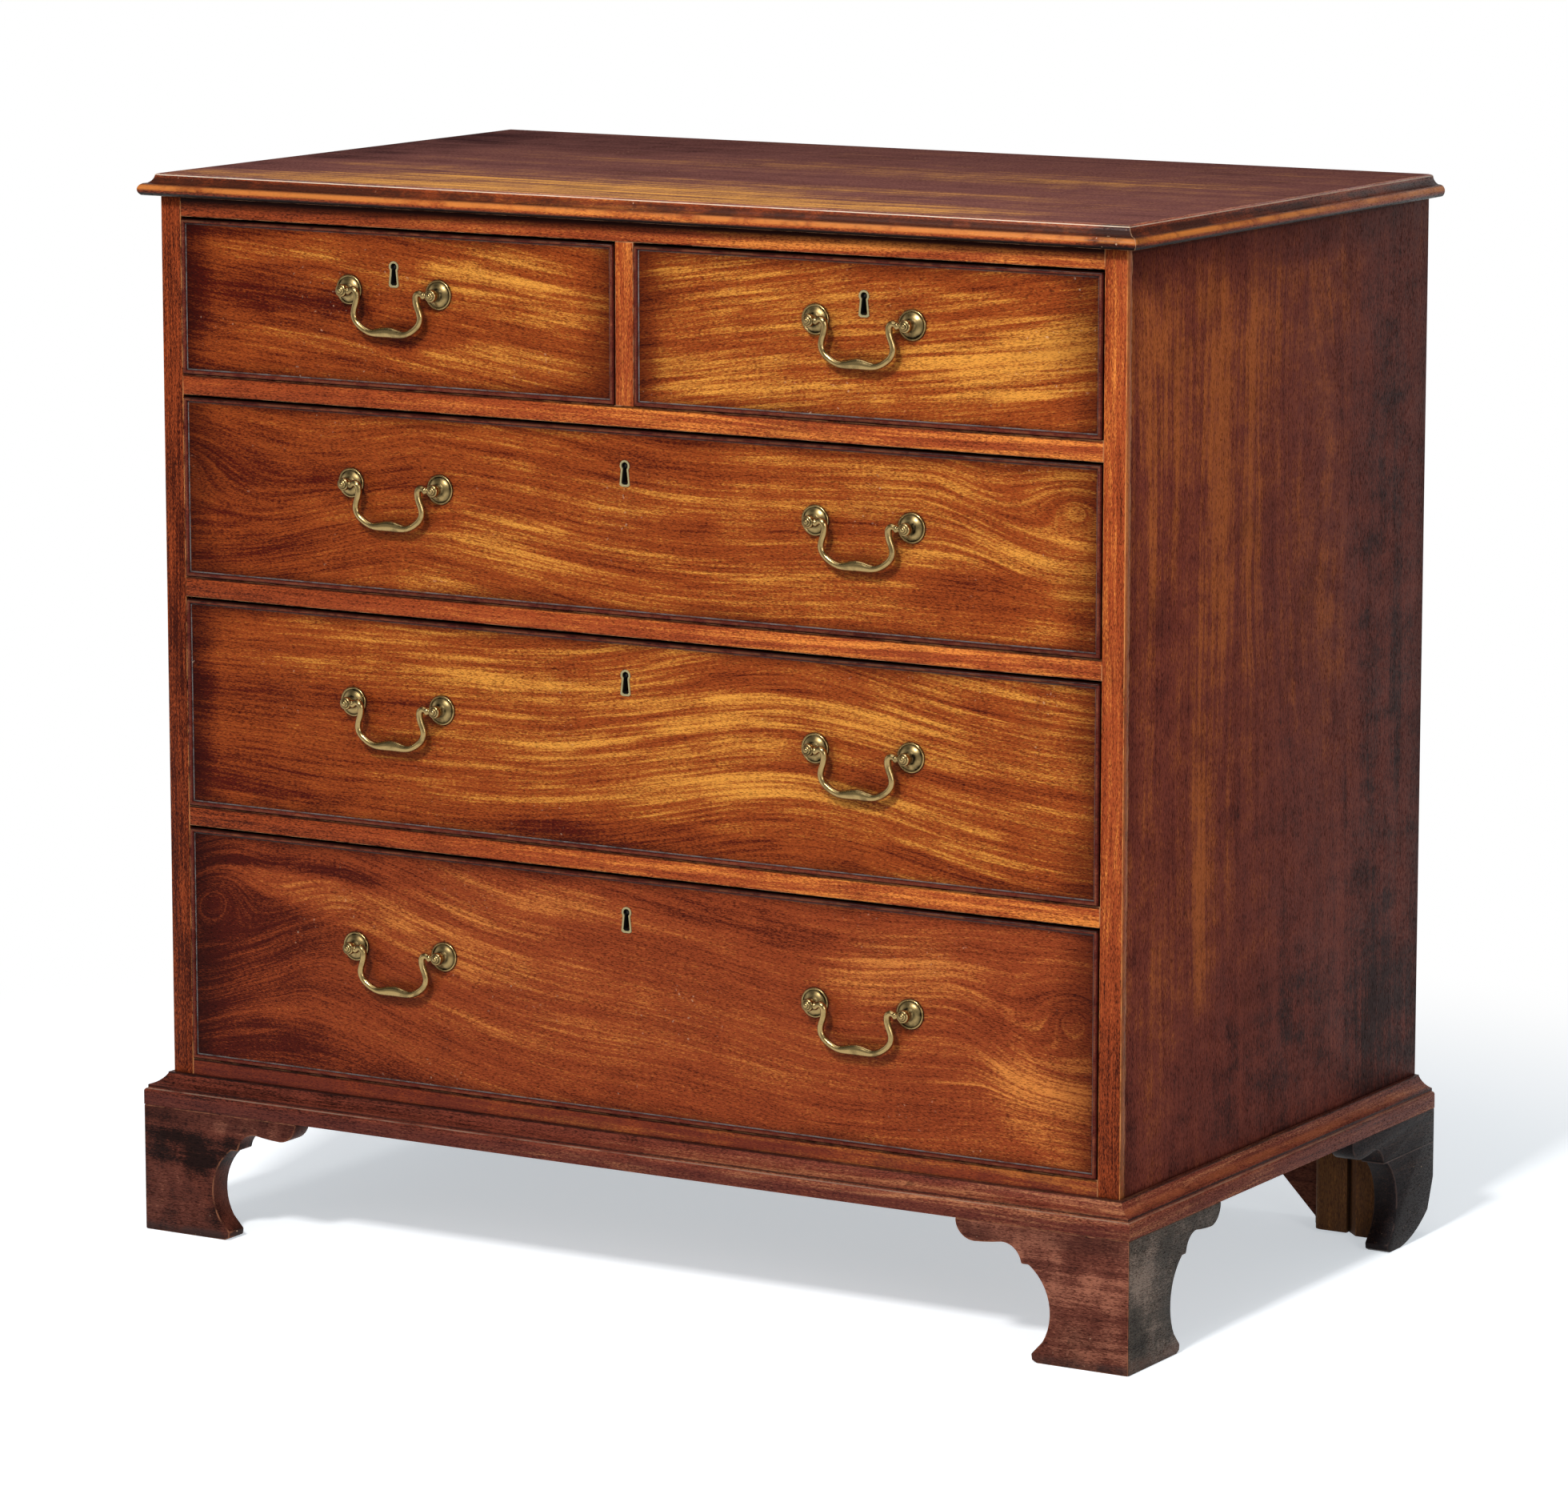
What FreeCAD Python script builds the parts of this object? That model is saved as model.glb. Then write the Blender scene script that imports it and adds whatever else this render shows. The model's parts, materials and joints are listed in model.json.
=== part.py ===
import FreeCAD, Part
import math
import os

# Chest of drawers: two short drawers over three long ones, on bracket feet.
# Millimetres. Front faces -Y, +X to the right, +Z up. The origin is on the floor,
# in the middle of the whole object's width and depth.

# ---- carcass ----------------------------------------------------------------
CARCASS_WIDTH = 850.0         # over the outer faces of the sides
CARCASS_DEPTH = 496.0         # from the front face of the stiles to the back
SIDE_THICKNESS = 18.5
STILE_DEPTH = 7.0             # facing strip on the front edge of each side
RAIL_HEIGHT = 16.0            # top rail and the rails between drawers
RAIL_DEPTH = 58.0
MUNTIN_WIDTH = 16.0           # upright between the two short drawers
BOTTOM_OPENING = 187.5        # heights of the drawer openings, bottom to top
THIRD_OPENING = 166.0
SECOND_OPENING = 143.0
TOP_OPENING = 122.8
BOTTOM_RAIL_SHOWING = 12.7    # bottom rail above the base moulding
BOTTOM_RAIL_DEPTH = 22.0
BOTTOM_THICKNESS = 18.0       # carcass bottom board
BACK_THICKNESS = 9.0
BACK_REBATE = 9.0             # width of the rebate for the back boards in each side
BACK_BOARD_COUNT = 5
BACK_BOARD_GAP = 0.6          # shrinkage gap between back boards
TOP_THICKNESS = 17.0
TOP_PROUD = 13.5              # how far the moulded edge of the top stands out
TOP_FILLET = (0.24, 0.05)     # places on that edge: out as a share of TOP_PROUD,
TOP_COVE_THROUGH = (0.36, 0.31)   # and down as a share of TOP_THICKNESS
TOP_COVE_END = (0.60, 0.45)
TOP_QUIRK_OUT = 0.68
TOP_NOSE_DROP = 0.73
TOP_NOSE_UNDER = 0.82

# ---- inside the carcass -----------------------------------------------------
RUNNER_WIDTH = 45.0
MIDDLE_RUNNER_WIDTH = 70.0
KICKER_WIDTH = 30.0
DUST_BOARD_THICKNESS = 8.0
GUIDE_HEIGHT = 40.0           # middle guide between the short drawers
STOP_WIDTH = 45.0
STOP_LENGTH = 20.0
STOP_HEIGHT = 4.0
STOP_CLEARANCE = 0.3          # between a stop and the back of the drawer front
STOP_INSET = 95.0             # middle of a stop from the side of its opening

# ---- base -------------------------------------------------------------------
FOOT_HEIGHT = 101.5
BASE_HEIGHT = 25.5            # band and cove together
BAND_HEIGHT = 13.3
BASE_PROUD = 17.5             # band and feet outside the carcass
COVE_OUT = 0.20               # places on the cove: out as a share of BASE_PROUD,
COVE_THROUGH = (0.42, 0.15)   # and up from its foot as a share of BASE_HEIGHT
COVE_END_OUT = 0.86
COVE_FOOT_RISE = 0.10         # shares of BASE_HEIGHT: foot of the cove above the band,
COVE_SLOPE_DROP = 0.01        # its top below the moulding's back edge,
COVE_FILLET_DROP = 0.05       # the fillet there,
BAND_ARRIS_DROP = 0.10        # and the rounding of the band
FOOT_LENGTH = 146.0           # shaped bracket, from the corner along the top
LOBE_DROP = 16.0              # round end of the bracket under the band
ARCH_RISE = 2.4
CUSP_REACH = 91.0             # the small step in the outline, from the corner
CUSP_DROP = 28.0              # and below the top of the foot
CUSP_STEP = 3.4
CUSP_LEDGE = 6.0
ANKLE_REACH = 66.0            # narrowest place
ANKLE_HEIGHT = 38.0
TOE_REACH = 81.3
TOE_HEIGHT = 6.6
ARCH_BOW_SHARE = 0.35         # how far the arch rises by the middle of its first half
CUSP_CURVE = (0.30, 0.24)     # bend above the step: out and down, as shares of LOBE_DROP
ANKLE_FOOT = (0.4, 2.5)       # end of the ankle's curve: towards the toe, and in toe heights
TOE_ROUND = (0.1, 0.3)        # rounding of the toe, in and up, in toe heights
TOE_SLOPE = 0.75              # sole set back under the toe, in toe heights
BRACKET_THICKNESS = 20.0
HEEL_WEAR_HEIGHT = 46.0       # worn lower back corner of the rear brackets
HEEL_WEAR_LENGTH = 58.0
HEEL_WEAR_CORNER = (0.16, 0.46)   # places on the worn edge, as shares of that length and height
HEEL_WEAR_THROUGH = (0.48, 0.20)
REAR_TOP_REACH = 187.0        # plain back bracket of a rear foot
REAR_TOE_REACH = 94.0
REAR_TOE_HEIGHT = 6.0
FRONT_BLOCK = 25.0            # square glue block in the corner of a front foot
CORNER_BLOCK = 33.0           # and of a rear foot
BLOCK_CHAMFER = 11.0          # planed off the rear block's free edge
SIDE_BLOCK_WIDTH = 30.0       # second block beside it in a rear foot
SIDE_BLOCK_DEPTH = 27.0
SIDE_BLOCK_ROUND = 8.0        # rounding of the second block's free edge
BLOCK_RISE = 3.0              # blocks end this far above the floor

# ---- drawers ----------------------------------------------------------------
DRAWER_FRONT_THICKNESS = 20.0
DRAWER_SIDE_THICKNESS = 9.0
DRAWER_SIDE_DROP = 4.0        # sides are this much lower than the front
DRAWER_BACK_DROP = 5.0        # and the back is lower than the sides
DRAWER_BOTTOM_THICKNESS = 6.5
DRAWER_BOTTOM_RISE = 6.5      # underside of the bottom above the lower edge
BOTTOM_TONGUE = 4.0           # how far the bottom enters its grooves
DOVETAIL_LAP = 1.5            # wood between the lapped dovetails and the cockbead's rebate
DOVETAIL_PITCH = 46.0
DOVETAIL_HALF_SHARE = 0.26    # half the narrow side of a tail, as a share of the pitch
DOVETAIL_SLOPE = 2.2          # how much wider a tail is at each side of its tip
RUNNING_GAP = 0.5             # under each drawer
DRAWER_SIDE_GAP = 1.2
DRAWER_TOP_GAP = 1.8
DRAWER_BACK_ROOM = 18.0       # between a closed drawer and the back boards
COCKBEAD_WIDTH = 3.0
COCKBEAD_PROUD = 2.2
COCKBEAD_REBATE = 5.0
COCKBEAD_ROUND = 0.8

# ---- handles ----------------------------------------------------------------
HANDLE_CENTRES = 82.0         # between the two posts of a handle
HANDLE_RISE = 13.0            # pivot above the middle of the drawer opening
PIVOT_REACH = 11.0            # pivot in front of the drawer front
KNOB_REACH = 15.5             # tip of the post in front of the drawer front
KNOB_RADIUS = 4.9
KNOB_LENGTH = 5.4             # round the hole for the bail's pin
BUTTON_RADIUS = 2.0           # at the tip of the post
NECK_RADIUS = 3.1
NECK_FLARE = 1.8              # length of the flare at the foot of the neck
SHANK_RADIUS = 2.6
SHANK_CLEARANCE = 0.3
ROSE_RADIUS = 11.5
ROSE_EDGE = 1.4               # thickness at the rim
ROSE_CROWN = 3.0              # thickness at the middle
ROSE_BEAD = 1.2               # width of the bead round the rim
NUT_RADIUS = 6.0
NUT_THICKNESS = 4.0
PIN_RADIUS = 1.5              # ends of the bail, in the posts
PIN_DEPTH = 3.4               # how far they enter the knob
PIVOT_CLEARANCE = 0.4
BAIL_RADIUS = 2.2
BAIL_BEAD_RADIUS = 2.9        # swelling beside each post
BEAD_CLEARANCE = 0.3          # between it and the knob
GRIP_RADIUS = 3.9
BAIL_NECK_REACH = 26.8        # half the width between the necks
BAIL_WIDEST_REACH = 31.0
BAIL_DROP = 31.0              # pivot to the middle of the grip
BAIL_ARCH_OUT = 1.2           # corner of the arch beside the post, outside the neck
BAIL_ARCH_RISE = 3.6          # and above the pivot
BAIL_ARCH_BEND = 3.3
BAIL_NECK_IN = 0.6            # the neck leans in by this much on its way down
BAIL_NECK_BEND = 15.0
BAIL_ELBOW_BEND = 8.5
BAIL_GRIP_BEND = 16.0
NECK_DROP_SHARE = 0.29        # heights of neck and elbow, as shares of the bail's drop
ELBOW_DROP_SHARE = 0.66
ELBOW_REACH_SHARE = 1.10      # reach of elbow and grip, as shares of the widest reach
GRIP_REACH_SHARE = 0.62
POST_SIDES = 8                # flats round a post
SHANK_SIDES = 6               # and round shanks, nuts, pins and their holes
ROSE_SIDES = 10
BAIL_SIDES = 8                # flats round the bail's wire
BAIL_TURN = math.radians(50)  # bend of the bail from one section to the next

# ---- locks ------------------------------------------------------------------
KEYHOLE_DROP = 35.0           # middle of the keyhole under the top of the opening
KEYHOLE_HEIGHT = 17.4
KEYHOLE_HEAD_RADIUS = 2.9
KEYHOLE_WAIST = 1.8           # half width below the head
KEYHOLE_FOOT = 3.0            # half width at the foot
KEYHOLE_HEAD_FLATS = 8        # flats round the head
LINER_WALL = 1.5
LINER_DEPTH = 6.0
LINER_PROUD = 0.4
LOCK_WIDTH = 64.0
LOCK_HEIGHT = 52.0
LOCK_DEPTH = 9.5
LOCK_PLATE = 2.0
KEY_PIN_RADIUS = 1.3
KEY_PIN_SUNK = 1.5            # tip of the key pin behind the drawer front's face
BOLT_WIDTH = 26.0
BOLT_HEIGHT = 18.0
BOLT_THICKNESS = 5.0
BOLT_CLEARANCE = 0.3
BOLT_POCKET = 9.0             # depth of the bolt's pocket in the rail above

# ---- places worked out from the sizes ---------------------------------------
HALF_WIDTH = CARCASS_WIDTH / 2
HALF_INSIDE = HALF_WIDTH - SIDE_THICKNESS
FRONT = (max(BASE_PROUD, KNOB_REACH) - CARCASS_DEPTH) / 2
BACK = FRONT + CARCASS_DEPTH
BACK_INNER = BACK - BACK_THICKNESS
RAIL_BACK = FRONT + RAIL_DEPTH
BASE_TOP = FOOT_HEIGHT + BASE_HEIGHT
FIRST_FLOOR = BASE_TOP + BOTTOM_RAIL_SHOWING
SECOND_FLOOR = FIRST_FLOOR + BOTTOM_OPENING + RAIL_HEIGHT
THIRD_FLOOR = SECOND_FLOOR + THIRD_OPENING + RAIL_HEIGHT
TOP_FLOOR = THIRD_FLOOR + SECOND_OPENING + RAIL_HEIGHT
TOP_CEILING = TOP_FLOOR + TOP_OPENING
CARCASS_TOP = TOP_CEILING + RAIL_HEIGHT
TOTAL_HEIGHT = CARCASS_TOP + TOP_THICKNESS
RAIL_FLOORS = (SECOND_FLOOR, THIRD_FLOOR, TOP_FLOOR)
HALF_MUNTIN = MUNTIN_WIDTH / 2
SHORT_MIDDLE = (HALF_INSIDE + HALF_MUNTIN) / 2


class Bay:
    """One drawer opening: its name, its box in the front plane, its handles and its lock."""

    def __init__(self, name, left, right, floor, height, handles):
        self.name = name
        self.left = left
        self.right = right
        self.floor = floor
        self.ceiling = floor + height
        self.handles = handles
        self.middle = (left + right) / 2
        self.pivot_height = floor + height / 2 + HANDLE_RISE
        self.keyhole_height = self.ceiling - KEYHOLE_DROP
        self.front_left = left + DRAWER_SIDE_GAP
        self.front_right = right - DRAWER_SIDE_GAP
        self.front_bottom = floor + RUNNING_GAP
        self.front_top = self.ceiling - DRAWER_TOP_GAP


BOTH_HANDLES = {"left": -SHORT_MIDDLE, "right": SHORT_MIDDLE}
BAYS = (
    Bay("drawer_top_left", -HALF_INSIDE, -HALF_MUNTIN, TOP_FLOOR, TOP_OPENING, {"": -SHORT_MIDDLE}),
    Bay("drawer_top_right", HALF_MUNTIN, HALF_INSIDE, TOP_FLOOR, TOP_OPENING, {"": SHORT_MIDDLE}),
    Bay("drawer_second", -HALF_INSIDE, HALF_INSIDE, THIRD_FLOOR, SECOND_OPENING, BOTH_HANDLES),
    Bay("drawer_third", -HALF_INSIDE, HALF_INSIDE, SECOND_FLOOR, THIRD_OPENING, BOTH_HANDLES),
    Bay("drawer_bottom", -HALF_INSIDE, HALF_INSIDE, FIRST_FLOOR, BOTTOM_OPENING, BOTH_HANDLES),
)


# ---- helpers ----------------------------------------------------------------
def vec(x, y, z):
    return FreeCAD.Vector(x, y, z)


def block(x0, x1, y0, y1, z0, z1):
    """A rectangular board between two corners."""
    return Part.makeBox(x1 - x0, y1 - y0, z1 - z0, vec(x0, y0, z0))


def prism(points, direction):
    """A solid with a polygon outline, pushed along a direction."""
    return Part.Face(Part.makePolygon(points + points[:1])).extrude(direction)


def solid_from(edges, direction):
    """A solid with an outline of lines and arcs, pushed along a direction."""
    return Part.Face(Part.Wire(edges)).extrude(direction)


def line(a, b):
    return Part.LineSegment(a, b).toShape()


def arc(a, through, b):
    return Part.Arc(a, through, b).toShape()


def ring(centre, radius, sides, across, up):
    """The corners of a regular polygon round a centre, in the plane of two directions."""
    points = []
    for i in range(sides):
        turn = 2 * math.pi * (i + 0.5) / sides
        points.append(centre + across * (radius * math.cos(turn)) + up * (radius * math.sin(turn)))
    return points


def flat_face(points):
    return Part.Face(Part.makePolygon(points + points[:1]))


def skinned(rings):
    """A solid with flat facets between rings of points, closed at both ends."""
    faces = [flat_face(rings[0]), flat_face(rings[-1])]
    for near, far in zip(rings, rings[1:]):
        for i in range(len(near)):
            j = (i + 1) % len(near)
            span = near[j] - near[i]
            out_of_plane = span.cross(far[i] - near[i]).dot(far[j] - near[i])
            if abs(out_of_plane) < 1e-7:
                faces.append(flat_face([near[i], near[j], far[j], far[i]]))
            else:
                faces.append(flat_face([near[i], near[j], far[j]]))
                faces.append(flat_face([near[i], far[j], far[i]]))
    shell = Part.makeShell(faces)
    shell.sewShape()
    return Part.makeSolid(shell)


def turned(x, z, profile, sides):
    """A turned piece on an axis along Y: profile is a list of (distance out of the front, radius)."""
    return skinned([ring(vec(x, FRONT - out, z), radius, sides, vec(1, 0, 0), vec(0, 0, 1))
                    for out, radius in profile])


def mirrored(shape):
    """The same piece on the other side of the chest."""
    return shape.mirror(vec(0, 0, 0), vec(1, 0, 0))


# ---- mouldings --------------------------------------------------------------
def nose_arc(point, nose, end):
    """Arc from the nose of a moulding, where its face is upright, to an end further in."""
    inward, rise = nose[0] - end[0], end[1] - nose[1]
    radius = (inward ** 2 + rise ** 2) / (2 * inward)
    turn = math.atan2(rise, radius - inward) / 2
    through = (nose[0] - radius * (1 - math.cos(turn)), nose[1] + radius * math.sin(turn))
    return arc(point(*nose), point(*through), point(*end))


def top_edge_profile(point):
    """Moulded edge of the top: fillet, cove, quirk and ovolo. point(out, height) places it."""
    under = CARCASS_TOP

    def place(share_out, share_down):
        return share_out * TOP_PROUD, TOTAL_HEIGHT - share_down * TOP_THICKNESS

    fillet, cove_through, cove_end = place(*TOP_FILLET), place(*TOP_COVE_THROUGH), place(*TOP_COVE_END)
    quirk = (TOP_QUIRK_OUT * TOP_PROUD, cove_end[1])
    nose = place(1, TOP_NOSE_DROP)
    nose_under = (TOP_NOSE_UNDER * TOP_PROUD, under)
    return [
        line(point(0, under), point(0, TOTAL_HEIGHT)),
        line(point(0, TOTAL_HEIGHT), point(*fillet)),
        arc(point(*fillet), point(*cove_through), point(*cove_end)),
        line(point(*cove_end), point(*quirk)),
        nose_arc(point, nose, quirk),
        nose_arc(point, nose, nose_under),
        line(point(*nose_under), point(0, under)),
    ]


def base_profile(point):
    """Base moulding: a cove over a quirk, and a flat band with a rounded upper arris."""
    low = FOOT_HEIGHT
    band_top = low + BAND_HEIGHT
    fillet_out = COVE_OUT * BASE_PROUD
    fillet_top = BASE_TOP - COVE_SLOPE_DROP * BASE_HEIGHT
    fillet_low = BASE_TOP - COVE_FILLET_DROP * BASE_HEIGHT
    cove_foot = band_top + COVE_FOOT_RISE * BASE_HEIGHT
    cove_through = (COVE_THROUGH[0] * BASE_PROUD, cove_foot + COVE_THROUGH[1] * BASE_HEIGHT)
    quirk_out = COVE_END_OUT * BASE_PROUD
    band_arris = (BASE_PROUD, band_top - BAND_ARRIS_DROP * BASE_HEIGHT)
    return [
        line(point(0, low), point(0, BASE_TOP)),
        line(point(0, BASE_TOP), point(fillet_out, fillet_top)),
        line(point(fillet_out, fillet_top), point(fillet_out, fillet_low)),
        arc(point(fillet_out, fillet_low), point(*cove_through), point(quirk_out, cove_foot)),
        line(point(quirk_out, cove_foot), point(quirk_out, band_top)),
        nose_arc(point, band_arris, (quirk_out, band_top)),
        line(point(*band_arris), point(BASE_PROUD, low)),
        line(point(BASE_PROUD, low), point(0, low)),
    ]


def mitred_mouldings(profile, proud, low, high):
    """Front, left and right lengths of a moulding round the carcass, mitred at the front corners."""
    beyond = 2 * proud
    mitre_out = vec(-HALF_WIDTH - beyond, FRONT - beyond, low - 1)
    mitre_in = vec(-HALF_WIDTH + beyond, FRONT + beyond, low - 1)
    rise = vec(0, 0, high - low + 2)

    front = solid_from(profile(lambda out, z: vec(-HALF_WIDTH - beyond, FRONT - out, z)),
                       vec(CARCASS_WIDTH + 2 * beyond, 0, 0))
    keep_front = prism([mitre_out, vec(-mitre_out.x, mitre_out.y, mitre_out.z),
                        vec(-mitre_in.x, mitre_in.y, mitre_in.z), mitre_in], rise)
    left = solid_from(profile(lambda out, z: vec(-HALF_WIDTH - out, FRONT - beyond, z)),
                      vec(0, CARCASS_DEPTH + beyond, 0))
    keep_left = prism([mitre_out, mitre_in, vec(mitre_in.x, BACK + 1, mitre_in.z),
                       vec(mitre_out.x, BACK + 1, mitre_out.z)], rise)
    left = left.common(keep_left)
    return [front.common(keep_front), left, mirrored(left)]


# ---- carcass ----------------------------------------------------------------
def top_board():
    return block(-HALF_WIDTH, HALF_WIDTH, FRONT, BACK, CARCASS_TOP, TOTAL_HEIGHT)


def side_left():
    board = block(-HALF_WIDTH, -HALF_INSIDE, FRONT + STILE_DEPTH, BACK, FOOT_HEIGHT, CARCASS_TOP)
    rebate = block(-HALF_INSIDE - BACK_REBATE, -HALF_INSIDE + 1, BACK_INNER, BACK + 1,
                   FOOT_HEIGHT - 1, CARCASS_TOP + 1)
    return board.cut(rebate)


def stiles():
    left = block(-HALF_WIDTH, -HALF_INSIDE, FRONT, FRONT + STILE_DEPTH, FOOT_HEIGHT, CARCASS_TOP)
    return [left, mirrored(left)]


def bolt_box(bay, clearance, low, high):
    """Space of a lock bolt with clearance all round, between two heights."""
    middle_y = FRONT + bolt_middle()
    half_x = BOLT_WIDTH / 2 + clearance
    half_y = BOLT_THICKNESS / 2 + clearance
    return block(bay.middle - half_x, bay.middle + half_x, middle_y - half_y, middle_y + half_y, low, high)


def bolt_middle():
    """The middle of the bolt's thickness, behind the drawer's front face."""
    return DRAWER_FRONT_THICKNESS - LOCK_PLATE - BOLT_CLEARANCE - BOLT_THICKNESS / 2


def rails():
    """Top rail, the three drawer rails and the bottom rail, with pockets for the lock bolts."""
    boards = []
    for low in [floor - RAIL_HEIGHT for floor in RAIL_FLOORS] + [TOP_CEILING]:
        board = block(-HALF_INSIDE, HALF_INSIDE, FRONT, RAIL_BACK, low, low + RAIL_HEIGHT)
        for bay in BAYS:
            if abs(bay.ceiling - low) < 0.01:
                board = board.cut(bolt_box(bay, BOLT_CLEARANCE, low - 1, low + BOLT_POCKET))
        boards.append(board)
    boards.append(block(-HALF_INSIDE, HALF_INSIDE, FRONT, FRONT + BOTTOM_RAIL_DEPTH,
                        FOOT_HEIGHT, FIRST_FLOOR))
    return boards


def muntin():
    return block(-HALF_MUNTIN, HALF_MUNTIN, FRONT, RAIL_BACK, TOP_FLOOR, TOP_CEILING)


def bottom_board():
    return block(-HALF_INSIDE, HALF_INSIDE, FRONT + BOTTOM_RAIL_DEPTH, BACK_INNER,
                 FIRST_FLOOR - BOTTOM_THICKNESS, FIRST_FLOOR)


def back_boards():
    """Upright boards side by side in the rebates."""
    half = HALF_INSIDE + BACK_REBATE
    pitch = 2 * half / BACK_BOARD_COUNT
    boards = []
    for i in range(BACK_BOARD_COUNT):
        left = -half + i * pitch
        right = left + pitch
        if i < BACK_BOARD_COUNT - 1:
            right -= BACK_BOARD_GAP
        boards.append(block(left, right, BACK_INNER, BACK, FOOT_HEIGHT, CARCASS_TOP))
    return boards


def runners():
    """Strips behind the rails that carry the drawer sides; a wide one under the muntin."""
    strips = []
    for floor in RAIL_FLOORS:
        left = block(-HALF_INSIDE, -HALF_INSIDE + RUNNER_WIDTH, RAIL_BACK, BACK_INNER,
                     floor - RAIL_HEIGHT, floor)
        strips += [left, mirrored(left)]
    half = MIDDLE_RUNNER_WIDTH / 2
    strips.append(block(-half, half, RAIL_BACK, BACK_INNER, TOP_FLOOR - RAIL_HEIGHT, TOP_FLOOR))
    return strips


def dust_boards():
    """Thin boards that close the space between the runners."""
    boards = []
    edge = -HALF_INSIDE + RUNNER_WIDTH
    for floor in RAIL_FLOORS:
        middle = floor - RAIL_HEIGHT / 2
        low = middle - DUST_BOARD_THICKNESS / 2
        high = middle + DUST_BOARD_THICKNESS / 2
        if floor == TOP_FLOOR:
            left = block(edge, -MIDDLE_RUNNER_WIDTH / 2, RAIL_BACK, BACK_INNER, low, high)
            boards += [left, mirrored(left)]
        else:
            boards.append(block(edge, -edge, RAIL_BACK, BACK_INNER, low, high))
    return boards


def guide_and_kickers():
    """Guide between the short drawers, and the strips over them that stop them tipping."""
    guide = block(-HALF_MUNTIN, HALF_MUNTIN, RAIL_BACK, BACK_INNER, TOP_FLOOR, TOP_FLOOR + GUIDE_HEIGHT)
    left = block(-HALF_INSIDE, -HALF_INSIDE + KICKER_WIDTH, RAIL_BACK, BACK_INNER, TOP_CEILING, CARCASS_TOP)
    middle = block(-KICKER_WIDTH, KICKER_WIDTH, RAIL_BACK, BACK_INNER, TOP_CEILING, CARCASS_TOP)
    return [guide, left, mirrored(left), middle]


def drawer_stops():
    """Two blocks on the rail behind each drawer front."""
    stops = []
    y0 = FRONT + DRAWER_FRONT_THICKNESS + STOP_CLEARANCE
    for bay in BAYS:
        for x in (bay.left + STOP_INSET, bay.right - STOP_INSET):
            stops.append(block(x - STOP_WIDTH / 2, x + STOP_WIDTH / 2, y0, y0 + STOP_LENGTH,
                               bay.floor, bay.floor + STOP_HEIGHT))
    return stops


# ---- feet -------------------------------------------------------------------
def bracket_edges(point, worn_heel):
    """Outline of a shaped bracket; point(reach, height) measures from the corner of the foot."""
    top = FOOT_HEIGHT
    lobe_inner, lobe_low = FOOT_LENGTH - LOBE_DROP, top - LOBE_DROP
    cusp_height = top - CUSP_DROP
    cusp_top = point(CUSP_REACH, cusp_height + CUSP_STEP)
    arch_crest = point(CUSP_REACH + LOBE_DROP, lobe_low + ARCH_RISE)
    ledge_outer = point(CUSP_REACH - 1, cusp_height)
    ledge_inner = point(CUSP_REACH - 1 - CUSP_LEDGE, cusp_height)
    ankle_low = point(ANKLE_REACH + ANKLE_FOOT[0] * (TOE_REACH - ANKLE_REACH), ANKLE_FOOT[1] * TOE_HEIGHT)
    toe_tip = point(TOE_REACH, TOE_HEIGHT)
    toe_round = point(TOE_REACH - TOE_ROUND[0] * TOE_HEIGHT, TOE_ROUND[1] * TOE_HEIGHT)
    toe_sole = point(TOE_REACH - TOE_SLOPE * TOE_HEIGHT, 0)
    slant = math.sqrt(0.5)
    edges = [
        line(point(0, top), point(FOOT_LENGTH, top)),
        arc(point(FOOT_LENGTH, top),
            point(lobe_inner + slant * LOBE_DROP, top - slant * LOBE_DROP), point(lobe_inner, lobe_low)),
        arc(point(lobe_inner, lobe_low),
            point((lobe_inner + CUSP_REACH + LOBE_DROP) / 2, lobe_low + ARCH_BOW_SHARE * ARCH_RISE),
            arch_crest),
        arc(arch_crest,
            point(CUSP_REACH + CUSP_CURVE[0] * LOBE_DROP, lobe_low + ARCH_RISE - CUSP_CURVE[1] * LOBE_DROP),
            cusp_top),
        line(cusp_top, ledge_outer),
        line(ledge_outer, ledge_inner),
        arc(ledge_inner, point(ANKLE_REACH, ANKLE_HEIGHT), ankle_low),
        line(ankle_low, toe_tip),
        line(toe_tip, toe_round),
        line(toe_round, toe_sole),
    ]
    if worn_heel:

        def worn(share_along, share_up):
            return point(share_along * HEEL_WEAR_LENGTH, share_up * HEEL_WEAR_HEIGHT)

        heel_top, heel_edge, heel_sole = worn(0, 1), worn(*HEEL_WEAR_CORNER), worn(1, 0)
        edges.append(line(toe_sole, heel_sole))
        edges.append(arc(heel_sole, worn(*HEEL_WEAR_THROUGH), heel_edge))
        edges.append(line(heel_edge, heel_top))
        edges.append(line(heel_top, point(0, top)))
    else:
        edges.append(line(toe_sole, point(0, 0)))
        edges.append(line(point(0, 0), point(0, top)))
    return edges


def left_front_brackets():
    """Front and side bracket of the left front foot, mitred at the corner."""
    corner_x, corner_y = -HALF_WIDTH - BASE_PROUD, FRONT - BASE_PROUD
    reach = 2 * FOOT_LENGTH
    front = solid_from(bracket_edges(lambda d, z: vec(corner_x + d, corner_y, z), False),
                       vec(0, BRACKET_THICKNESS, 0))
    side = solid_from(bracket_edges(lambda d, z: vec(corner_x, corner_y + d, z), False),
                      vec(BRACKET_THICKNESS, 0, 0))
    corner = vec(corner_x, corner_y, -1)
    rise = vec(0, 0, FOOT_HEIGHT + 2)
    beyond = corner + vec(reach, reach, 0)
    keep_front = prism([corner, vec(beyond.x, corner.y, -1), beyond], rise)
    keep_side = prism([corner, beyond, vec(corner.x, beyond.y, -1)], rise)
    return [front.common(keep_front), side.common(keep_side)]


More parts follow.
